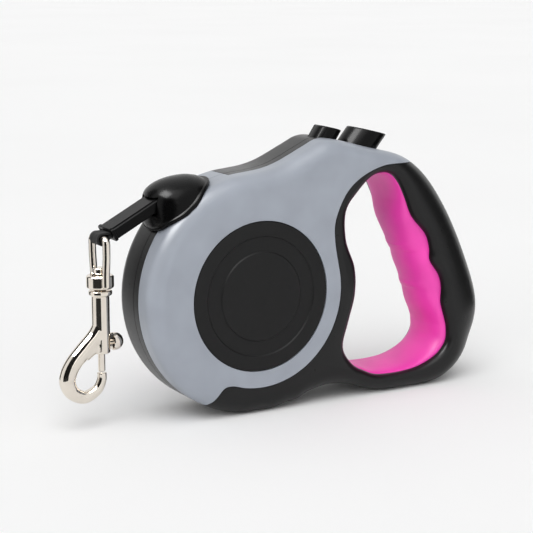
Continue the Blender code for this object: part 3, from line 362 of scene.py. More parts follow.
class Nodes:
    """A short way to write a material's node tree."""

    def __init__(self, name):
        self.material = bpy.data.materials.new(name)
        self.material.use_nodes = True
        self.tree = self.material.node_tree
        self.shader = self.tree.nodes["Principled BSDF"]
        self.place = self.add("ShaderNodeTexCoord").outputs["Object"]

    def add(self, kind, **settings):
        node = self.tree.nodes.new(kind)
        for key, value in settings.items():
            setattr(node, key, value)
        return node

    def link(self, source, target):
        self.tree.links.new(source, target)

    def noise(self, scale, detail):
        node = self.add("ShaderNodeTexNoise")
        fill(node, {"Scale": scale, "Detail": detail})
        self.link(self.place, node.inputs["Vector"])
        return node.outputs["Fac"]

    def ramp(self, source, low, high, start=0.3, end=0.7):
        node = self.add("ShaderNodeValToRGB")
        node.color_ramp.elements[0].position = start
        node.color_ramp.elements[0].color = (*low, 1)
        node.color_ramp.elements[1].position = end
        node.color_ramp.elements[1].color = (*high, 1)
        self.link(source, node.inputs["Fac"])
        return node.outputs["Color"]

    def range(self, source, low, high):
        node = self.add("ShaderNodeMapRange")
        fill(node, {"To Min": low, "To Max": high})
        self.link(source, node.inputs["Value"])
        return node.outputs["Result"]

    def bump(self, source, strength, distance):
        node = self.add("ShaderNodeBump")
        fill(node, {"Strength": strength, "Distance": distance})
        self.link(source, node.inputs["Height"])
        self.feed("Normal", node.outputs["Normal"])

    def feed(self, socket, source):
        self.link(source, self.shader.inputs[socket])


def moulded(name, colour, rough, grain, depth, shine=0.5):
    """Moulded plastic or rubber: a fine grain, a slow drift in colour and a little change in gloss."""
    nodes = Nodes(name)
    darker = tuple(value * 0.93 for value in colour)
    lighter = tuple(min(value * 1.06, 1) for value in colour)
    nodes.feed("Base Color", nodes.ramp(nodes.noise(scale=60, detail=2), darker, lighter))
    wear = nodes.noise(scale=400, detail=4)
    nodes.feed("Roughness", nodes.range(wear, low=rough - 0.05, high=rough + 0.07))
    nodes.bump(nodes.noise(grain, detail=5), strength=0.35, distance=depth)
    fill(nodes.shader, {"Specular IOR Level": shine})
    return nodes.material


def plated(name, colour, rough):
    """Polished plate over a casting: faint ripple and fine wear."""
    nodes = Nodes(name)
    darker = tuple(value * 0.94 for value in colour)
    nodes.feed("Base Color", nodes.ramp(nodes.noise(scale=250, detail=3), darker, colour))
    nodes.feed("Roughness", nodes.range(nodes.noise(scale=900, detail=4), low=rough * 0.7, high=rough * 1.5))
    nodes.bump(nodes.noise(scale=180, detail=2), strength=0.12, distance=0.0004)
    fill(nodes.shader, {"Metallic": 1.0})
    return nodes.material


def woven(name, colour):
    """Woven tape: ribs along its length, crossed by finer picks, with painted highlight on the crests."""
    nodes = Nodes(name)
    mix = nodes.add("ShaderNodeMath", operation="MULTIPLY")
    for i, (direction, scale) in enumerate((("Y", 45), ("DIAGONAL", 75))):
        wave = nodes.add("ShaderNodeTexWave", bands_direction=direction)
        fill(wave, {"Scale": scale, "Distortion": 0.4})
        nodes.link(nodes.place, wave.inputs["Vector"])
        nodes.link(wave.outputs["Fac"], mix.inputs[i])
    height = mix.outputs["Value"]
    # Painted highlight on the weave's raised crests and painted shade in its hollows: the base colour follows
    # the rib height.
    lighter = tuple(value * 2.2 for value in colour)
    nodes.feed("Base Color", nodes.ramp(height, colour, lighter, start=0.1, end=0.9))
    nodes.feed("Roughness", nodes.range(nodes.noise(scale=700, detail=3), low=0.65, high=0.9))
    nodes.bump(height, strength=0.7, distance=0.0004)
    fill(nodes.shader, {"Sheen Weight": 0.06, "Specular IOR Level": 0.25})
    return nodes.material


BLACK = moulded("black_satin", (0.0082, 0.0082, 0.0084), 0.29, 3500, 0.00003, 0.26)
PLATE = moulded("black_fine", (0.0045, 0.0045, 0.0047), 0.55, 5000, 0.00004, 0.27)
GLOSS = moulded("black_gloss", (0.0012, 0.0012, 0.0013), 0.25, 3000, 0.00002, 0.14)
SLEEVE = moulded("black_smooth", (0.0012, 0.0012, 0.0013), 0.28, 3000, 0.00002, 0.11)
GREY = moulded("grey_satin", (0.310, 0.336, 0.384), 0.34, 3000, 0.00004)
PINK = moulded("pink_soft", (0.90, 0.05, 0.45), 0.44, 2500, 0.00004, 0.6)
STEEL = plated("drawn_steel", (0.55, 0.55, 0.56), 0.3)
NICKEL = plated("nickel", (0.80, 0.74, 0.66), 0.06)
WEBBING = woven("webbing", (0.006, 0.006, 0.0064))
INK = moulded("dark_card", (0.01, 0.01, 0.01), 0.9, 900, 0.00005, 0.1)
INNER = moulded("natural_moulded", (0.55, 0.55, 0.52), 0.5, 2500, 0.00005)


def in_scene(name, data):
    made = bpy.data.objects.new(name, data)
    bpy.context.scene.collection.objects.link(made)
    return made


def mesh_object(name, bm):
    bmesh.ops.recalc_face_normals(bm, faces=bm.faces)
    mesh = bpy.data.meshes.new(name)
    bm.to_mesh(mesh)
    bm.free()
    return in_scene(name, mesh)


def combine(target, tools, operation):
    """Cuts or joins with each tool in turn."""
    for tool in tools:
        change = target.modifiers.new(tool.name, "BOOLEAN")
        change.operation = operation
        change.solver = "EXACT"
        change.object = tool
    bake(target)


def bake(target):
    """Puts the modifiers' result in the mesh."""
    graph = bpy.context.evaluated_depsgraph_get()
    result = bpy.data.meshes.new_from_object(target.evaluated_get(graph))
    target.modifiers.clear()
    target.data = result


def drop(tools):
    for tool in tools:
        bpy.data.objects.remove(tool, do_unlink=True)


def round_edges(target, width, angle_deg, segments):
    """Breaks the sharp edges with a small radius."""
    bm = bmesh.new()
    bm.from_mesh(target.data)
    bmesh.ops.remove_doubles(bm, verts=bm.verts, dist=WELD)
    bm.to_mesh(target.data)
    bm.free()
    change = target.modifiers.new("edges", "BEVEL")
    change.width = width
    change.segments = segments
    change.limit_method = "ANGLE"
    change.angle_limit = radians(angle_deg)
    change.use_clamp_overlap = False
    bake(target)


def coat(made, paint):
    made.data.materials.clear()
    made.data.materials.append(paint)


def finish_piece(made, paint, body, nodes, sharp_deg):
    """Moves a piece home, paints it, and sets it on its body in place of its CAD nodes."""
    made.data.transform(Matrix.Translation(HOME))
    made.data.shade_smooth()
    made.data.set_sharp_from_angle(angle=radians(sharp_deg))
    coat(made, paint)
    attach(made, body)
    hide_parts(*nodes)


def loft(loops, joined=False):
    """A skin through loops, either closed at both ends or joined up into a ring."""
    bm = bmesh.new()
    rings = [[bm.verts.new(point) for point in loop] for loop in loops]
    for low, high in zip(rings, rings[1:] + rings[:1] if joined else rings[1:]):
        for i in range(len(low)):
            bm.faces.new((low[i - 1], low[i], high[i], high[i - 1]))
    if not joined:
        bm.faces.new(rings[0])
        bm.faces.new(rings[-1][::-1])
    return bm


def oblong(left, low, right, high):
    return [(left, low), (right, low), (right, high), (left, high)]


def prism(outline, low, high):
    return loft([[(x, y, z) for x, z in outline] for y in (low, high)])


def rod(start, end, radius, sides):
    axis = Vector(end) - Vector(start)
    turn = axis.to_track_quat("Z", "X").to_matrix().to_4x4()
    bm = bmesh.new()
    bmesh.ops.create_cone(
        bm, cap_ends=True, segments=sides, radius1=radius, radius2=radius, depth=axis.length,
        matrix=Matrix.Translation((Vector(start) + Vector(end)) / 2) @ turn,
    )
    return bm


def lathe(profile, sides, origin, axis):
    """A (radius, height) profile turned about an axis through a point, closed at both ends."""
    turn = Vector(axis).to_track_quat("Z", "X").to_matrix()
    loops = []
    for radius, height in profile:
        loop = []
        for side in range(sides):
            angle = 2 * pi * side / sides
            loop.append(Vector(origin) + turn @ Vector((radius * cos(angle), radius * sin(angle), height)))
        loops.append(loop)
    return loft(loops)


def tube(route, radii, sides, across):
    """A round bar along a flat route. Across is square to the route's plane."""
    loops = []
    for i, point in enumerate(route):
        ahead = route[min(i + 1, len(route) - 1)] - route[max(i - 1, 0)]
        out = ahead.normalized().cross(across).normalized()
        loop = []
        for side in range(sides):
            angle = 2 * pi * side / sides
            loop.append(point + radii[i] * (cos(angle) * out + sin(angle) * across))
        loops.append(loop)
    return loft(loops)


def strip_box(centre, along, length, width, thickness):
    """A box that lies along a direction in the (x, z) plane, with its width along Y."""
    ahead = Vector((along[0], along[1])).normalized()
    up = Vector((-ahead.y, ahead.x))
    corners = []
    for forward, rise in ((-1, -1), (1, -1), (1, 1), (-1, 1)):
        corners.append(Vector(centre) + ahead * forward * length / 2 + up * rise * thickness / 2)
    return prism([tuple(corner) for corner in corners], -width / 2, width / 2)


def arc(radius, start_deg, end_deg, steps, centre=(0, 0)):
    points = []
    for step in range(steps + 1):
        angle = radians(start_deg + (end_deg - start_deg) * step / steps)
        points.append((centre[0] + radius * cos(angle), centre[1] + radius * sin(angle)))
    return points


def spline(points, steps):
    """A smooth line through all the points but the first and the last, which only steer it."""
    made = []
    for a, b, c, d in zip(points, points[1:], points[2:], points[3:]):
        for step in range(steps):
            t = step / steps
            place = []
            for p, q, r, s in zip(a, b, c, d):
                bend = 2 * p - 5 * q + 4 * r - s
                twist = 3 * (q - r) + s - p
                place.append(q + 0.5 * t * (r - p + t * (bend + t * twist)))
            made.append(tuple(place))
    made.append(tuple(points[-2]))
    return made


def inward(outline):
    """Unit normals that point into a closed outline."""
    area = sum(a[0] * b[1] - b[0] * a[1] for a, b in zip(outline, outline[1:] + outline[:1]))
    hand = 1 if area > 0 else -1
    normals = []
    for i in range(len(outline)):
        before = outline[i - 1]
        after = outline[(i + 1) % len(outline)]
        dx = after[0] - before[0]
        dz = after[1] - before[1]
        size = hypot(dx, dz)
        normals.append((-dz * hand / size, dx * hand / size))
    return normals


def offset(outline, distance):
    return [(x + nx * distance, z + nz * distance) for (x, z), (nx, nz) in zip(outline, inward(outline))]


def ramp(value, low, high):
    share = min(max((value - low) / (high - low), 0), 1)
    return share * share * (3 - 2 * share)


def heading(lean_deg):
    return Vector((sin(radians(lean_deg)), cos(radians(lean_deg))))


# Case, covers and round plates
CASE_ARC = arc(CASE_RADIUS, *CASE_ARC_DEG, ARC_STEPS)
HANDLE_KNOTS = [CASE_ARC[-3], CASE_ARC[-1]] + UNDERSIDE + HANDLE_BACK + TOP + [CASE_ARC[0], CASE_ARC[2]]
HANDLE_RUN = spline(HANDLE_KNOTS, SPLINE_STEPS)
CASE_OUTLINE = [(x, max(z, -AXIS_HEIGHT)) for x, z in CASE_ARC + HANDLE_RUN[1:-1]]
CASE_NORMALS = inward(CASE_OUTLINE)
OUTSIDE = 2 * CASE_RADIUS
BRAKE_AXIS = heading(BRAKE_LEAN_DEG)
LOCK_AXIS = heading(LOCK_LEAN_DEG)
SLOPE = Vector((cos(radians(TOP_SLOPE_DEG)), -sin(radians(TOP_SLOPE_DEG))))


def handle_share(x, z):
    return ramp(x, *HANDLE_START) * ramp(z, *HANDLE_FOOT)


def case_half(side, wall, start):
    """One half of the case, drawn in by a wall, from near the parting plane to the face."""
    loops = [[(x, side * start, z) for x, z in offset(CASE_OUTLINE, wall)]]
    for step in range(SHOULDER_STEPS + 1):
        angle = pi / 2 * step / SHOULDER_STEPS
        loop = []
        for (x, z), (nx, nz) in zip(CASE_OUTLINE, CASE_NORMALS):
            share = handle_share(x, z)
            across = SHOULDER_RADIUS + share * HANDLE_EXTRA_ACROSS
            deep = SHOULDER_RADIUS + share * HANDLE_EXTRA_DEEP
            inset = wall + (across - wall) * (1 - cos(angle))
            depth = CASE_HALF_DEPTH - deep + (deep - wall) * sin(angle)
            loop.append((x + nx * inset, side * depth, z + nz * inset))
        loops.append(loop)
    return loft(loops)


def span(side, low, high):
    return sorted((side * low, side * high))


COVER_ARC = arc(COVER_ARC_RADIUS, *COVER_ARC_DEG, COVER_ARC_STEPS)
COVER_LINE = spline(COVER_TAIL[:1] + COVER_TAIL + [COVER_ARC[0], COVER_ARC[2]], SPLINE_STEPS)[:-1]
COVER_LINE += COVER_ARC
COVER_LINE += spline([COVER_ARC[-3], COVER_ARC[-1]] + COVER_RISE + COVER_RISE[-1:], SPLINE_STEPS)[1:]
COVER_REGION = COVER_LINE + [(COVER_RISE[-1][0], OUTSIDE), (-OUTSIDE, OUTSIDE), (-OUTSIDE, COVER_TAIL[0][1])]


def cover_region(side, spread):
    """The space of a cover, with the tab behind the nose."""
    cover_edge = COVER_EDGE if side < 0 else FAR_COVER_EDGE
    depth = span(side, cover_edge - spread, OUTSIDE)
    made = mesh_object("cover_region", prism(offset(COVER_REGION, -spread), *depth))
    left, right = SADDLE_TAB[0] - spread, SADDLE_TAB[1] + spread
    low = CASE_RADIUS - 2 * SHOULDER_RADIUS
    tab = oblong(left, low, right, OUTSIDE)
    tab_solid = mesh_object("cover_tab", prism(tab, *span(side, FIT / 2, cover_edge + PAST)))
    combine(made, [tab_solid], "UNION")
    drop([tab_solid])
    return made


HOLE_POINTS = HOLE_LEFT + GRIP_EDGE
HOLE_OUTLINE = spline(HOLE_POINTS[-1:] + HOLE_POINTS + HOLE_POINTS[:2], HOLE_STEPS)[:-1]
HOLE_NORMALS = inward(HOLE_OUTLINE)
GRIP_FIRST = len(HOLE_LEFT) * HOLE_STEPS


def hole_cutter():
    loops = []
    lips = [radians(angle) for angle in HOLE_LIP_DEG]
    for side in (-1, 1):
        ring_angles = lips if side < 0 else lips[::-1]
        rings = [(HOLE_LIP * (1 - cos(a)), CASE_HALF_DEPTH - HOLE_LIP * (1 - sin(a))) for a in ring_angles]
        flare = [(HOLE_LIP, CASE_HALF_DEPTH + HOLE_FLARE), (HOLE_LIP, CASE_HALF_DEPTH + PAST)]
        rings = flare[::-1] + rings if side < 0 else rings + flare
        for spread, depth in rings:
            loops.append([(x, side * depth, z) for x, z in offset(HOLE_OUTLINE, -spread)])
    return mesh_object("hand_hole", loft(loops))


def grip_stations():
    crowns = [(value,) for value in GRIP_CROWN]
    stations = []
    for i, (crown,) in enumerate(spline(crowns[:1] + crowns + crowns[-1:], HOLE_STEPS)):
        place = (GRIP_FIRST + i) % len(HOLE_OUTLINE)
        stations.append((HOLE_OUTLINE[place], HOLE_NORMALS[place], crown))
    return stations


def grip_piece():
    loops = []
    for (x, z), (nx, nz), crown in grip_stations():
        section = [(-GRIP_ROOT, -GRIP_HALF_WIDTH), (0, -GRIP_HALF_WIDTH)]
        for step in range(1, GRIP_ARC_STEPS):
            angle = pi * step / GRIP_ARC_STEPS
            section.append((crown * sin(angle), -GRIP_HALF_WIDTH * cos(angle)))
        section += [(0, GRIP_HALF_WIDTH), (-GRIP_ROOT, GRIP_HALF_WIDTH)]
        loops.append([(x + nx * rise, y, z + nz * rise) for rise, y in section])
    made = mesh_object("grip_skin", loft(loops))
    finish_piece(made, PINK, "housing", ["grip"], 50)


def grip_slot():
    stations = grip_stations()
    ends = []
    for this, near in ((stations[0], stations[1]), (stations[-1], stations[-2])):
        away = (Vector(this[0]) - Vector(near[0])).normalized()
        ends.append((tuple(Vector(this[0]) + away * FIT), this[1], this[2]))
    loops = []
    for (x, z), (nx, nz), crown in ends[:1] + stations[1:-1] + ends[1:]:
        wide = GRIP_HALF_WIDTH + FIT
        rise = min(crown, HOLE_LIP)
        deep = -GRIP_ROOT - FIT
        section = [(deep, -wide), (deep, wide), (rise, wide), (rise, -wide)]
        slid = (x - nz * SLOT_SLIDE, z + nx * SLOT_SLIDE)
        loops.append([(slid[0] + nx * out, y, slid[1] + nz * out) for out, y in section])
    return mesh_object("grip_slot", loft(loops))


def sheared(base, axis, section, levels):
    """Sections along the sloping top that follow a leaning axis. Levels are (height, inset)."""
    loops = []
    for height, inset in levels:
        loop = []
        for along, y in offset(section, inset):
            place = base + SLOPE * along + axis * height
            loop.append((place.x, y, place.y))
        loops.append(loop)
    return loft(loops)


def lock_section():
    edge_deg = degrees(acos(-LOCK_FRONT / LOCK_RADIUS))
    return arc(LOCK_RADIUS, -edge_deg, edge_deg, BUTTON_SIDES)


def brake_reach():
    """From the brake's base to where its pawl stands just clear of the spool."""
    along = BRAKE_BASE.dot(BRAKE_AXIS)
    return along - (along**2 - BRAKE_BASE.dot(BRAKE_BASE) + (FLANGE_RADIUS + RUNNING_GAP) ** 2) ** 0.5


def button(name, base, axis, section, height, travel, stem, stem_end, foot=None):
    """A cap on its blade. Returns the tools that cut its well and channel."""
    levels = [(-BUTTON_SKIRT, 0), (height - BUTTON_EDGE, 0)]
    for step in range(1, BUTTON_EDGE_STEPS + 1):
        angle = pi / 2 * step / BUTTON_EDGE_STEPS
        levels.append((height - BUTTON_EDGE * (1 - sin(angle)), BUTTON_EDGE * (1 - cos(angle))))
    cap = mesh_object(name + "_skin", sheared(base, axis, section, levels))
    start = base - axis * BUTTON_SKIRT / 2
    end = base - axis * stem_end
    thick, wide = stem
    blade = strip_box((start + end) / 2, start - end, (start - end).length, wide, thick)
    parts = [mesh_object("blade", blade)]
    floor = -BUTTON_SKIRT - travel - WELL_SPARE
    tools = [mesh_object("well", sheared(base, axis, section, [(floor, -FIT), (height + PAST, -FIT)]))]
    low = base - axis * (stem_end + PAST)
    high = base + axis * floor / 2
    middle = (low + high) / 2
    channel = strip_box(middle, high - low, (high - low).length, wide + 2 * FIT, thick + 2 * FIT)
    tools.append(mesh_object("channel", channel))
    if foot:
        wide, tall = foot
        parts.append(mesh_object("foot", strip_box(end + axis * tall / 2, axis, tall, wide, thick)))
        low = end - axis * PAST
        high = end + axis * (tall + FIT)
        middle = (low + high) / 2
        pocket = strip_box(middle, axis, (high - low).length, wide + 2 * FIT, thick + 2 * RUNNING_GAP)
        tools.append(mesh_object("foot_pocket", pocket))
    combine(cap, parts, "UNION")
    drop(parts)
    finish_piece(cap, GLOSS, name.split("_")[0], [name], 50)
    return tools


def tape_slot():
    start = Vector((0, WOUND_RADIUS))
    end = GUIDE_PIN + Vector((0, PIN_RADIUS + TAPE_THICKNESS))
    slit = strip_box((start + end) / 2, end - start, (end - start).length, TAPE_WIDTH + 2 * FIT, TAPE_SLIT)
    return mesh_object("tape_slot", slit)


def disc_plate(name, side):
    """A round plate with a shallow step down and up again towards its middle."""
    face = CASE_HALF_DEPTH
    bevel = DISC_EDGE * DISC_BEVEL_SHARE
    profile = [(DISC_RADIUS, face - COVER_WALL), (DISC_RADIUS, face - DISC_EDGE)]
    profile += [(DISC_RADIUS - bevel, face - bevel), (DISC_RADIUS - DISC_EDGE, face)]
    depth = face
    for radius, step in DISC_RINGS:
        profile.append((radius + abs(step), depth))
        depth += step
        profile.append((radius, depth))
    loops = []
    for radius, y in profile:
        circle = arc(radius, 0, 360 - 360 / DISC_SIDES, DISC_SIDES - 1)
        loops.append([(x, side * y, z) for x, z in circle])
    made = mesh_object(name + "_skin", loft(loops))
    finish_piece(made, PLATE, "housing", [name], 25)


def screw_cuts(name, start, radius, sides):
    """A round cut for each screw, from a depth out through the far side."""
    made = []
    for x, z in SCREWS:
        cut = rod((x, start, z), (x, CASE_HALF_DEPTH + PAST, z), radius + FIT, sides)
        made.append(mesh_object(name, cut))
    return made


def case_pieces():
    """The two black halves with their holes, and the grey covers let into them."""
    brake_section = arc(BRAKE_RADIUS, 0, 360 - 360 / BUTTON_SIDES, BUTTON_SIDES - 1)
    wells = button(
        "brake_button", BRAKE_BASE, BRAKE_AXIS, brake_section, BRAKE_HEIGHT, BRAKE_TRAVEL,
        BRAKE_STEM, brake_reach(), (PAWL_WIDTH, PAWL_HEIGHT),
    )
    wells += button(
        "lock_button", LOCK_BASE, LOCK_AXIS, lock_section(), LOCK_HEIGHT, LOCK_TRAVEL,
        LOCK_STEM, LOCK_STEM_LENGTH,
    )
    end = CAVITY_HALF_DEPTH
    seat = end + AXLE_SEAT_DEPTH
    slit = tape_slot()
    inside = [
        hole_cutter(),
        grip_slot(),
        mesh_object("cavity", rod((0, -end, 0), (0, end, 0), CAVITY_RADIUS, CAVITY_SIDES)),
        mesh_object("axle_seat", rod((0, -seat, 0), (0, seat, 0), AXLE_SEAT_RADIUS, ROUND_SIDES)),
        slit,
    ]
    inside += screw_cuts("screw_hole", -SCREW_REACH - FIT, SCREW_RADIUS, SCREW_HOLE_SIDES)
    for name, side in (("left", -1), ("right", 1)):
        shell = mesh_object(f"{name}_shell_skin", case_half(side, 0, FIT / 2))
        pocket = cover_region(side, FIT)
        floor = mesh_object("pocket_floor", case_half(side, COVER_WALL + FIT, FIT / 4))
        combine(pocket, [floor], "DIFFERENCE")
        cuts = [pocket] + inside + wells
        bores = []
        if side > 0:
            bores = screw_cuts("screw_bore", SCREW_SEAT, SCREW_HEAD_RADIUS, ROUND_SIDES)
        combine(shell, cuts + bores, "DIFFERENCE")
        finish_piece(shell, BLACK, "housing", [f"{name}_shell"], 35)
        drop([pocket, floor] + bores)

        cover = mesh_object(f"{name}_cover_skin", case_half(side, 0, FIT / 2))
        edge = cover_region(side, 0)
        combine(cover, [edge], "INTERSECT")
        within = mesh_object("cover_inside", case_half(side, COVER_WALL, FIT / 4))
        disc = mesh_object("disc_hole", rod((0, 0, 0), (0, side * OUTSIDE, 0), DISC_RADIUS + FIT, DISC_SIDES))
        combine(cover, [within, disc, slit] + wells, "DIFFERENCE")
        finish_piece(cover, GREY, "housing", [f"{name}_cover"], 35)
        drop([edge, within, disc])
        disc_plate(f"{name}_disc", side)
    drop(inside + wells)


# Tape outlet, tape and sleeve
def shoulder_drop(y):
    """How far the case's rim has fallen away at a depth."""
    past_flat = max(abs(y) - (CASE_HALF_DEPTH - SHOULDER_RADIUS), 0)
    return SHOULDER_RADIUS - (SHOULDER_RADIUS**2 - past_flat**2) ** 0.5


def nose_ends(share, size):
    """Where a slice of the egg-shaped nose starts and ends, in degrees about the reel."""
    behind, before = [
        reach * (1 - abs(share) ** power) ** 0.5 for reach, power in zip(NOSE_REACH_DEG, NOSE_REACH_POWER)
    ]
    return NOSE_MIDDLE_DEG - size * behind, NOSE_MIDDLE_DEG + size * before


def nose_flange(seat):
    """A thin band that bends down over the shoulders, with rounded corners."""
    loops = []
    for step in range(NOSE_SLICES + 1):
        share = sin(NOSE_FLANGE_REACH * pi / 2 * (2 * step / NOSE_SLICES - 1))
        low = seat - shoulder_drop(share * NOSE_FLANGE_HALF)
        start, end = nose_ends(share, 1)
        band = arc(low, start, end, NOSE_FOOT_STEPS) + arc(low + NOSE_FLANGE, end, start, NOSE_FOOT_STEPS)
        loops.append([(x, share * NOSE_FLANGE_HALF, z) for x, z in band])
    made = mesh_object("nose_flange", loft(loops))
    round_edges(made, NOSE_FLANGE_EDGE, NOSE_FLANGE_EDGE_DEG, NOSE_FLANGE_EDGE_STEPS)
    return made


def nose_piece():
    """A smooth dome on its flange, hollow, with a mouth for the sleeve."""
    seat = CASE_RADIUS + FIT
    foot_radius = seat + NOSE_FLANGE / 2
    foot = arc(foot_radius, *NOSE_ARC_DEG, NOSE_FOOT_STEPS)
    top = spline([foot[-1]] + NOSE_TOP + [foot[0], foot[3]], SPLINE_STEPS)[:-1]
    loops = []
    for step in range(NOSE_SLICES + 1):
        share = sin(NOSE_DOME_REACH * pi / 2 * (2 * step / NOSE_SLICES - 1))
        y = share * NOSE_HALF_WIDTH
        low = foot_radius - shoulder_drop(y)
        height = (1 - share**2) ** 0.5
        start, end = nose_ends(share, NOSE_DOME)
        loop = [(x, y, z) for x, z in arc(low, end, start, NOSE_FOOT_STEPS)]
        for x, z in top:
            along = (degrees(atan2(z, x)) - NOSE_ARC_DEG[1]) / (NOSE_ARC_DEG[0] - NOSE_ARC_DEG[1])
            angle = radians(start + (end - start) * along)
            edge = NOSE_EDGE * (max(1 - (2 * along - 1) ** 4, 0) * (1 - share**4)) ** 0.5
            rise = max(hypot(x, z) - foot_radius, 0) * height
            reach = low + NOSE_SKIN + (rise**3 + edge**3) ** (1 / 3)
            loop.append((cos(angle) * reach, y, sin(angle) * reach))
        loops.append(loop)
    nose = mesh_object("nose_skin", loft(loops))
    flange = nose_flange(seat)
    combine(nose, [flange], "UNION")
    half = SLEEVE_WIDTH / 2 + RUNNING_GAP
    outline = offset(foot + top, NOSE_WALL)
    chamber = outline[len(foot) + SPLINE_STEPS:-3 * SPLINE_STEPS]
    chamber += [tuple(Vector(foot[i]) * (1 - NOSE_WALL / seat)) for i in NOSE_CHAMBER_FOOT]
    length = SLEEVE_LENGTH + PAST
    wide = 2 * half + 2 * SLEEVE_LIP
    thick = SLEEVE_THICKNESS + 2 * RUNNING_GAP + 2 * SLEEVE_LIP
    seat_half = half + PIN_SEAT
    x, z = GUIDE_PIN
    cuts = [
        mesh_object("chamber", prism(chamber, -half, half)),
        mesh_object("mouth", strip_box(SLEEVE_END - OUT * length / 2, OUT, length, wide, thick)),
        mesh_object("pin_seat", rod((x, -seat_half, z), (x, seat_half, z), PIN_RADIUS + FIT, ROUND_SIDES)),
    ]
    combine(nose, cuts, "DIFFERENCE")
    drop([flange] + cuts)
    finish_piece(nose, GLOSS, "housing", ["nose"], 38)


def sleeve_section(grow):
    """Across and up: an oblong with round edges and a panel that stands a little above them."""
    wide = SLEEVE_WIDTH / 2 + grow
    thick = SLEEVE_THICKNESS / 2 + grow
    low = thick - SLEEVE_PANEL_RISE
    centre = (wide - SLEEVE_CORNER, -thick + SLEEVE_CORNER)
    half = arc(SLEEVE_CORNER, -90, 0, SLEEVE_CORNER_STEPS, centre)
    centre = (wide - SLEEVE_TOP_CORNER, low - SLEEVE_TOP_CORNER)
    half += arc(SLEEVE_TOP_CORNER, 0, 90, SLEEVE_TOP_STEPS, centre)
    half += [(wide - SLEEVE_PANEL_INSET[0], low), (wide - SLEEVE_PANEL_INSET[1], thick)]
    return half + [(-y, z) for y, z in half[::-1]]


def sleeve_piece():
    """A stiff oblong sleeve with a lip at its outer end. Stations are (distance along, growth)."""
    loops = []
    for along, grow in SLEEVE_STATIONS:
        middle = SLEEVE_INNER_END + OUT * along
        loop = []
        for y, rise in sleeve_section(grow):
            place = middle + LIFT * rise
            loop.append((place.x, y, place.y))
        loops.append(loop)
    made = mesh_object("tape_sleeve_skin", loft(loops))
    middle = SLEEVE_END - OUT * SLEEVE_LENGTH / 2
    wide = SLEEVE_WIDTH - 2 * SLEEVE_WALL
    thick = SLEEVE_THICKNESS - 2 * SLEEVE_WALL
    bore = mesh_object("bore", strip_box(middle, OUT, SLEEVE_LENGTH + 2 * PAST, wide, thick))
    combine(made, [bore], "DIFFERENCE")
    drop([bore])
    finish_piece(made, SLEEVE, "tape_end", ["tape_sleeve"], 30)


def walk(route, step):
    """The route again, in even steps."""
    made = [route[0]]
    for a, b in zip(route, route[1:]):
        count = max(int((b - a).length / step + 0.5), 1)
        made += [a + (b - a) * i / count for i in range(1, count + 1)]
    return made


def ribbon(route, thick, ribs):
    """A tape along an (x, z) route, thinner at its edges, with ribs along its length."""
    normals = []
    for i in range(len(route)):
        way = route[min(i + 1, len(route) - 1)] - route[max(i - 1, 0)]
        normals.append(Vector((-way.y, way.x)).normalized())
    loops = []
    for i in range(2 * ribs + 1):
        across = i / ribs - 1
        share = SELVEDGE_SHARE if i in (0, 2 * ribs) else 1 - RIB_RISE * (1 + cos(pi * i)) / thick
        faces = []
        for hand in (1, -1):
            face = []
            for point, normal in zip(route, normals):
                out = point + normal * hand * share * thick / 2
                face.append((out.x, across * TAPE_WIDTH / 2, out.y))
            faces.append(face)
        loops.append(faces[0] + faces[1][::-1])
    return loft(loops)


def tape_pieces():
    """The sewn loop in the sleeve, the tape that runs back over the guide pin, and the wound tape."""
    turn_radius = BAR_RADIUS + FIT / 2 + LOOP_THICKNESS / 2
    past = radians(LOOP_PAST_HALF_DEG)
    start = atan2(LIFT.y, LIFT.x) - past
    pinch = SLEEVE_END + OUT * 2 * FIT
    route = [SLEEVE_INNER_END + LIFT * LAYER, pinch + LIFT * LAYER]
    for step in range(LOOP_STEPS + 1):
        angle = start + (pi + 2 * past) * step / LOOP_STEPS
        route.append(EYE_BAR + Vector((cos(angle), sin(angle))) * turn_radius)
    route += [pinch - LIFT * LAYER, SLEEVE_INNER_END - LIFT * LAYER]
    loop = mesh_object("tape_loop_skin", ribbon(walk(route, LOOP_SPACING), LOOP_THICKNESS, TAPE_RIBS))
    finish_piece(loop, WEBBING, "tape_end", ["tape_loop"], 60)

    reach = GUIDE_PIN.length
    leave_angle = atan2(GUIDE_PIN.y, GUIDE_PIN.x) - acos((WOUND_RADIUS + FIT - PIN_RADIUS) / reach)
    lead = [Vector((cos(leave_angle), sin(leave_angle))) * (WOUND_RADIUS + FIT + TAPE_THICKNESS / 2)]
    lift_angle = atan2(LIFT.y, LIFT.x)
    for step in range(PIN_STEPS + 1):
        angle = leave_angle + (lift_angle - leave_angle) * step / PIN_STEPS
        lead.append(GUIDE_PIN + Vector((cos(angle), sin(angle))) * OVER_PIN)
    lead.append(SLEEVE_INNER_END - OUT * FIT)
    run = mesh_object("tape_run", ribbon(walk(lead, RUN_SPACING), TAPE_THICKNESS, TAPE_RIBS))
    run.data.transform(Matrix.Translation(HOME))
    run.data.shade_smooth()
    coat(run, WEBBING)
    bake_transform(run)
    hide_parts("tape_lead")

    profile = [(HUB_RADIUS + FIT, -TAPE_WIDTH / 2)]
    layers = int((WOUND_RADIUS - HUB_RADIUS) / TAPE_THICKNESS)
    for side in (-1, 1):
        edge = []
        for i in range(layers):
            for part, inset in WOUND_LAYER:
                radius = HUB_RADIUS + FIT + (WOUND_RADIUS - HUB_RADIUS - FIT) * (i + part) / layers
                edge.append((radius, side * (TAPE_WIDTH / 2 - inset)))
        profile += edge if side < 0 else edge[::-1]
    loops = []
    for step in range(WOUND_SIDES):
        angle = 2 * pi * step / WOUND_SIDES
        loops.append([(r * cos(angle), y, r * sin(angle)) for r, y in profile])
    wound = mesh_object("wound_tape_skin", loft(loops, joined=True))
    finish_piece(wound, WEBBING, "reel", ["wound_tape"], 60)


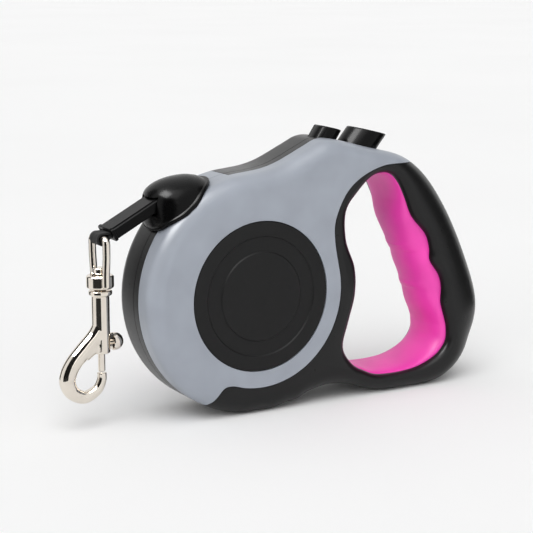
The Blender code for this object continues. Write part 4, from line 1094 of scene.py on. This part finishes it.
# Bolt snap
def soften(target, voxel):
    """Melts a joined casting into one smooth skin with small fillets."""
    change = target.modifiers.new("skin", "REMESH")
    change.mode = "VOXEL"
    change.voxel_size = voxel
    change = target.modifiers.new("smooth", "SMOOTH")
    change.factor = SMOOTH_SHARE
    change.iterations = SMOOTH_TURNS
    bake(target)


def upright(name, profile, sides=SNAP_SIDES):
    """A (radius, z) profile turned about the snap's own axis."""
    return mesh_object(name, lathe(profile, sides, (SNAP_X, 0, 0), (0, 0, 1)))


def snap_rod(name, low, high, radius, sides):
    return mesh_object(name, rod((SNAP_X, 0, low), (SNAP_X, 0, high), radius, sides))


def barrel_profile(low, high, radius, edge):
    return [(radius - edge, low), (radius, low + edge), (radius, high - edge), (radius - edge, high)]


def swivel_eye():
    half = spline(EYE_KNOTS, SPLINE_STEPS)
    corner = (EYE_LEG - EYE_CORNER, EYE_BAR.y - EYE_CORNER)
    half += arc(EYE_CORNER, 0, 90, EYE_CORNER_STEPS, corner)[1:]
    half.append((EYE_BAR_MIDDLE, EYE_BAR.y))
    route = [Vector((SNAP_X, -y, z)) for y, z in half]
    route += [Vector((SNAP_X, y, z)) for y, z in half[::-1]]
    bar = tube(route, [BAR_RADIUS] * len(route), ROUND_SIDES, Vector((1, 0, 0)))
    eye = mesh_object("swivel_eye_skin", bar)
    ring = barrel_profile(COLLAR_BASE, COLLAR_TOP, COLLAR_RADIUS, COLLAR_EDGE)
    collar = upright("collar", ring, COLLAR_SIDES)
    combine(eye, [collar], "UNION")
    soften(eye, EYE_VOXEL)
    bore_top = COLLAR_TOP + POST_BORE_ABOVE
    bore = snap_rod("bore", COLLAR_BASE - PAST, bore_top, POST_RADIUS + FIT, FINE_SIDES)
    head_top = COLLAR_TOP + POST_HEAD_ROOM
    head = snap_rod("head", COLLAR_TOP, head_top, POST_HEAD_RADIUS + FIT, FINE_SIDES)
    combine(eye, [bore, head], "DIFFERENCE")
    drop([collar, bore, head])
    finish_piece(eye, NICKEL, "eye", ["swivel_eye"], 50)


def hook_pieces():
    """The hook with its barrel, neck and post in one casting, and the bolt with its thumb knob."""
    square = Vector((0, 1, 0))
    route = [Vector((SNAP_X + x, 0, BARREL_END + z)) for x, z, _ in HOOK_ROUTE]
    smooth = [Vector(point) for point in spline([route[0]] + route + [route[-1]], HOOK_STEPS)]
    sizes = [(radius,) for _, _, radius in HOOK_ROUTE]
    radii = [value[0] for value in spline([sizes[0]] + sizes + [sizes[-1]], HOOK_STEPS)]
    hook = mesh_object("hook_body_skin", tube(smooth, radii, SNAP_SIDES, square))
    web = [Vector((SNAP_X + x, 0, BARREL_END + z)) for x, z in WEB_ROUTE]
    parts = [mesh_object("web", tube(web, WEB_RADII, SNAP_SIDES, square))]
    head_low = COLLAR_TOP + FIT
    for name, low, high, radius, edge in (
        ("barrel", BARREL_END, BARREL_TOP + FIT, BARREL_RADIUS, BARREL_EDGE),
        ("neck", BARREL_TOP, NECK_TOP, NECK_RADIUS, NECK_EDGE),
        ("post", NECK_TOP - FIT, head_low + FIT, POST_RADIUS, POST_EDGE),
        ("head", head_low, head_low + POST_HEAD_HEIGHT, POST_HEAD_RADIUS, POST_HEAD_EDGE),
    ):
        parts.append(upright(name, barrel_profile(low, high, radius, edge)))
    combine(hook, parts, "UNION")
    soften(hook, HOOK_VOXEL)
    rod_top = BARREL_END + BOLT_ABOVE
    bore_top = rod_top + BOLT_TRAVEL + BOLT_SPARE
    knob_z = BARREL_END + KNOB_RISE
    slot_half = KNOB_STEM_RADIUS + FIT
    slot_x = SNAP_X + BARREL_RADIUS + PAST
    slot = oblong(SNAP_X, HOOK_TIP + PAST, slot_x, knob_z + BOLT_TRAVEL + slot_half)
    cuts = [
        snap_rod("bolt_bore", HOOK_TIP + FIT, bore_top, BOLT_RADIUS + FIT, SNAP_SIDES),
        mesh_object("bolt_slot", prism(slot, -slot_half, slot_half)),
    ]
    combine(hook, cuts, "DIFFERENCE")
    drop(parts + cuts)
    finish_piece(hook, NICKEL, "hook", ["hook_body"], 50)

    shaft = barrel_profile(HOOK_TIP + 2 * FIT, rod_top, BOLT_RADIUS, BOLT_EDGE)
    bolt = upright("snap_bolt_skin", shaft)
    rim = KNOB_BACK + KNOB_RIM
    profile = [(KNOB_MIDDLE, KNOB_BACK), (KNOB_RADIUS - KNOB_EDGE, KNOB_BACK)]
    profile.append((KNOB_RADIUS, KNOB_BACK + KNOB_EDGE))
    for step in range(KNOB_STEPS):
        angle = pi / 2 * step / KNOB_STEPS
        profile.append((KNOB_RADIUS * cos(angle), rim + (KNOB_THICKNESS - KNOB_RIM) * sin(angle)))
    middle = (SNAP_X, 0, knob_z)
    knob = mesh_object("knob", lathe(profile, FINE_SIDES, middle, (1, 0, 0)))
    stem = mesh_object("stem", rod(middle, (SNAP_X + rim, 0, knob_z), KNOB_STEM_RADIUS, ROUND_SIDES))
    combine(bolt, [stem, knob], "UNION")
    drop([stem, knob])
    finish_piece(bolt, NICKEL, "bolt", ["snap_bolt"], 40)


def screw_pieces():
    """Case screws with domed heads and a cross recess."""
    for i, (x, z) in enumerate(SCREWS):
        low = SCREW_SEAT + FIT
        profile = [(SCREW_TIP_RADIUS, -SCREW_REACH), (SCREW_RADIUS, -SCREW_REACH + SCREW_TIP_LENGTH)]
        profile += [(SCREW_RADIUS, low), (SCREW_HEAD_RADIUS, low)]
        for step in range(SCREW_DOME_STEPS):
            angle = pi / 2 * step / SCREW_DOME_STEPS
            dome = SCREW_HEAD_HEIGHT * (SCREW_RIM_SHARE + (1 - SCREW_RIM_SHARE) * sin(angle))
            profile.append((SCREW_HEAD_RADIUS * cos(angle), low + dome))
        screw = mesh_object(f"case_screw_{i + 1}_skin", lathe(profile, ROUND_SIDES, (x, 0, z), (0, 1, 0)))
        top = low + SCREW_HEAD_HEIGHT
        cross = []
        for wide, tall in (SCREW_CROSS, SCREW_CROSS[::-1]):
            bar = oblong(x - wide, z - tall, x + wide, z + tall)
            cross.append(mesh_object("cross", prism(bar, top - SCREW_CROSS_DEPTH, top + PAST)))
        combine(screw, cross, "DIFFERENCE")
        drop(cross)
        finish_piece(screw, STEEL, "housing", [f"case_screw_{i + 1}"], 30)


case_pieces()
grip_piece()
nose_piece()
sleeve_piece()
tape_pieces()
swivel_eye()
hook_pieces()
screw_pieces()

# Finishes for the CAD nodes that stay
for name in ("mainspring", "reel_axle", "guide_pin"):
    coat(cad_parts[name], STEEL)
for name in ("reel_drum", "reel_lid"):
    coat(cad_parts[name], INNER)

# Coil springs, copied from their CAD nodes and finished in steel
for name, below, above, across in (
    ("brake_spring", "housing", "brake", SLOPE),
    ("lock_spring", "housing", "lock", SLOPE),
    ("bolt_spring", "bolt", "hook", Vector((1, 0))),
):
    coil = in_scene(name + "_coil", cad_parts[name].data.copy())
    coat(coil, STEEL)
    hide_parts(name)
    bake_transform(coil)


# Floor, light and camera
def dark_card(name, turns_deg, near):
    """A dark sheet on the floor that turns up into a wall, seen only in polished metal and gloss."""
    sheets = []
    for inner, outer, levels in (
        (near, CARD_FAR, CARD_LEVELS),
        (CARD_FAR, CARD_FAR + CARD_WALL, (0, CARD_HEIGHT)),
    ):
        outline = []
        for radius, ends in ((inner, turns_deg), (outer, turns_deg[::-1])):
            first, last = [CAMERA_TURN_DEG - 90 + turn for turn in ends]
            outline += [(HOME.x + SNAP_X + x, y) for x, y in arc(radius, first, last, CARD_STEPS)]
        sheets.append(loft([[(x, y, z) for x, y in outline] for z in levels]))
    card = mesh_object(name, sheets[0])
    wall = mesh_object("wall", sheets[1])
    combine(card, [wall], "UNION")
    drop([wall])
    coat(card, INK)
    card.visible_camera = False
    card.visible_diffuse = False
    card.visible_shadow = False


def pale_floor():
    corners = oblong(-FLOOR_HALF, -FLOOR_HALF, FLOOR_HALF, FLOOR_HALF)
    floor = mesh_object("floor", loft([[(x, y, z) for x, y in corners] for z in (-FLOOR_DEPTH, 0)]))
    nodes = Nodes("pale_floor")
    nodes.feed("Base Color", nodes.ramp(nodes.noise(scale=3, detail=2), *FLOOR_SHADES))
    fill(nodes.shader, {"Roughness": 0.9, "Specular IOR Level": 0.1})
    coat(floor, nodes.material)


def white_world():
    """An even white sky, brighter where the camera or a gloss sees it."""
    world = bpy.data.worlds.new("studio")
    world.use_nodes = True
    bpy.context.scene.world = world
    nodes = world.node_tree.nodes
    link = world.node_tree.links.new
    back = nodes["Background"]
    fill(back, {"Color": (1, 1, 1, 1)})
    path = nodes.new("ShaderNodeLightPath")
    level = nodes.new("ShaderNodeMapRange")
    fill(level, {"To Min": WORLD_LIGHT, "To Max": WORLD_SEEN})
    seen = nodes.new("ShaderNodeMath")
    seen.operation = "MAXIMUM"
    link(path.outputs["Is Glossy Ray"], seen.inputs[0])
    link(path.outputs["Is Camera Ray"], seen.inputs[1])
    link(seen.outputs["Value"], level.inputs["Value"])
    link(level.outputs["Result"], back.inputs["Strength"])


def stage():
    pale_floor()
    white_world()
    for card in CARDS:
        dark_card(*card)

    for name, strength, spread_deg, tilt_deg, turn_deg in SUNS:
        sun = bpy.data.lights.new(name, "SUN")
        sun.energy = strength
        sun.angle = radians(spread_deg)
        in_scene(name, sun).rotation_euler = (radians(tilt_deg), 0, radians(turn_deg))

    box = bpy.data.lights.new("softbox", "AREA")
    box.energy = SOFTBOX_POWER
    box.size = SOFTBOX_SIZE
    softbox = in_scene("softbox", box)
    softbox.location = HOME + SOFTBOX_FROM_REEL
    softbox.rotation_euler = SOFTBOX_FROM_REEL.to_track_quat("Z", "Y").to_euler()
    softbox.visible_diffuse = False

    lens = bpy.data.cameras.new("camera")
    lens.lens = CAMERA_LENS
    lens.sensor_width = SENSOR_WIDTH
    camera = in_scene("camera", lens)
    camera.location = HOME + CAMERA_FROM_REEL
    camera.rotation_euler = (radians(CAMERA_TILT_DEG), 0, radians(CAMERA_TURN_DEG))
    bpy.context.scene.camera = camera
    bpy.context.scene.view_settings.view_transform = "Standard"


stage()
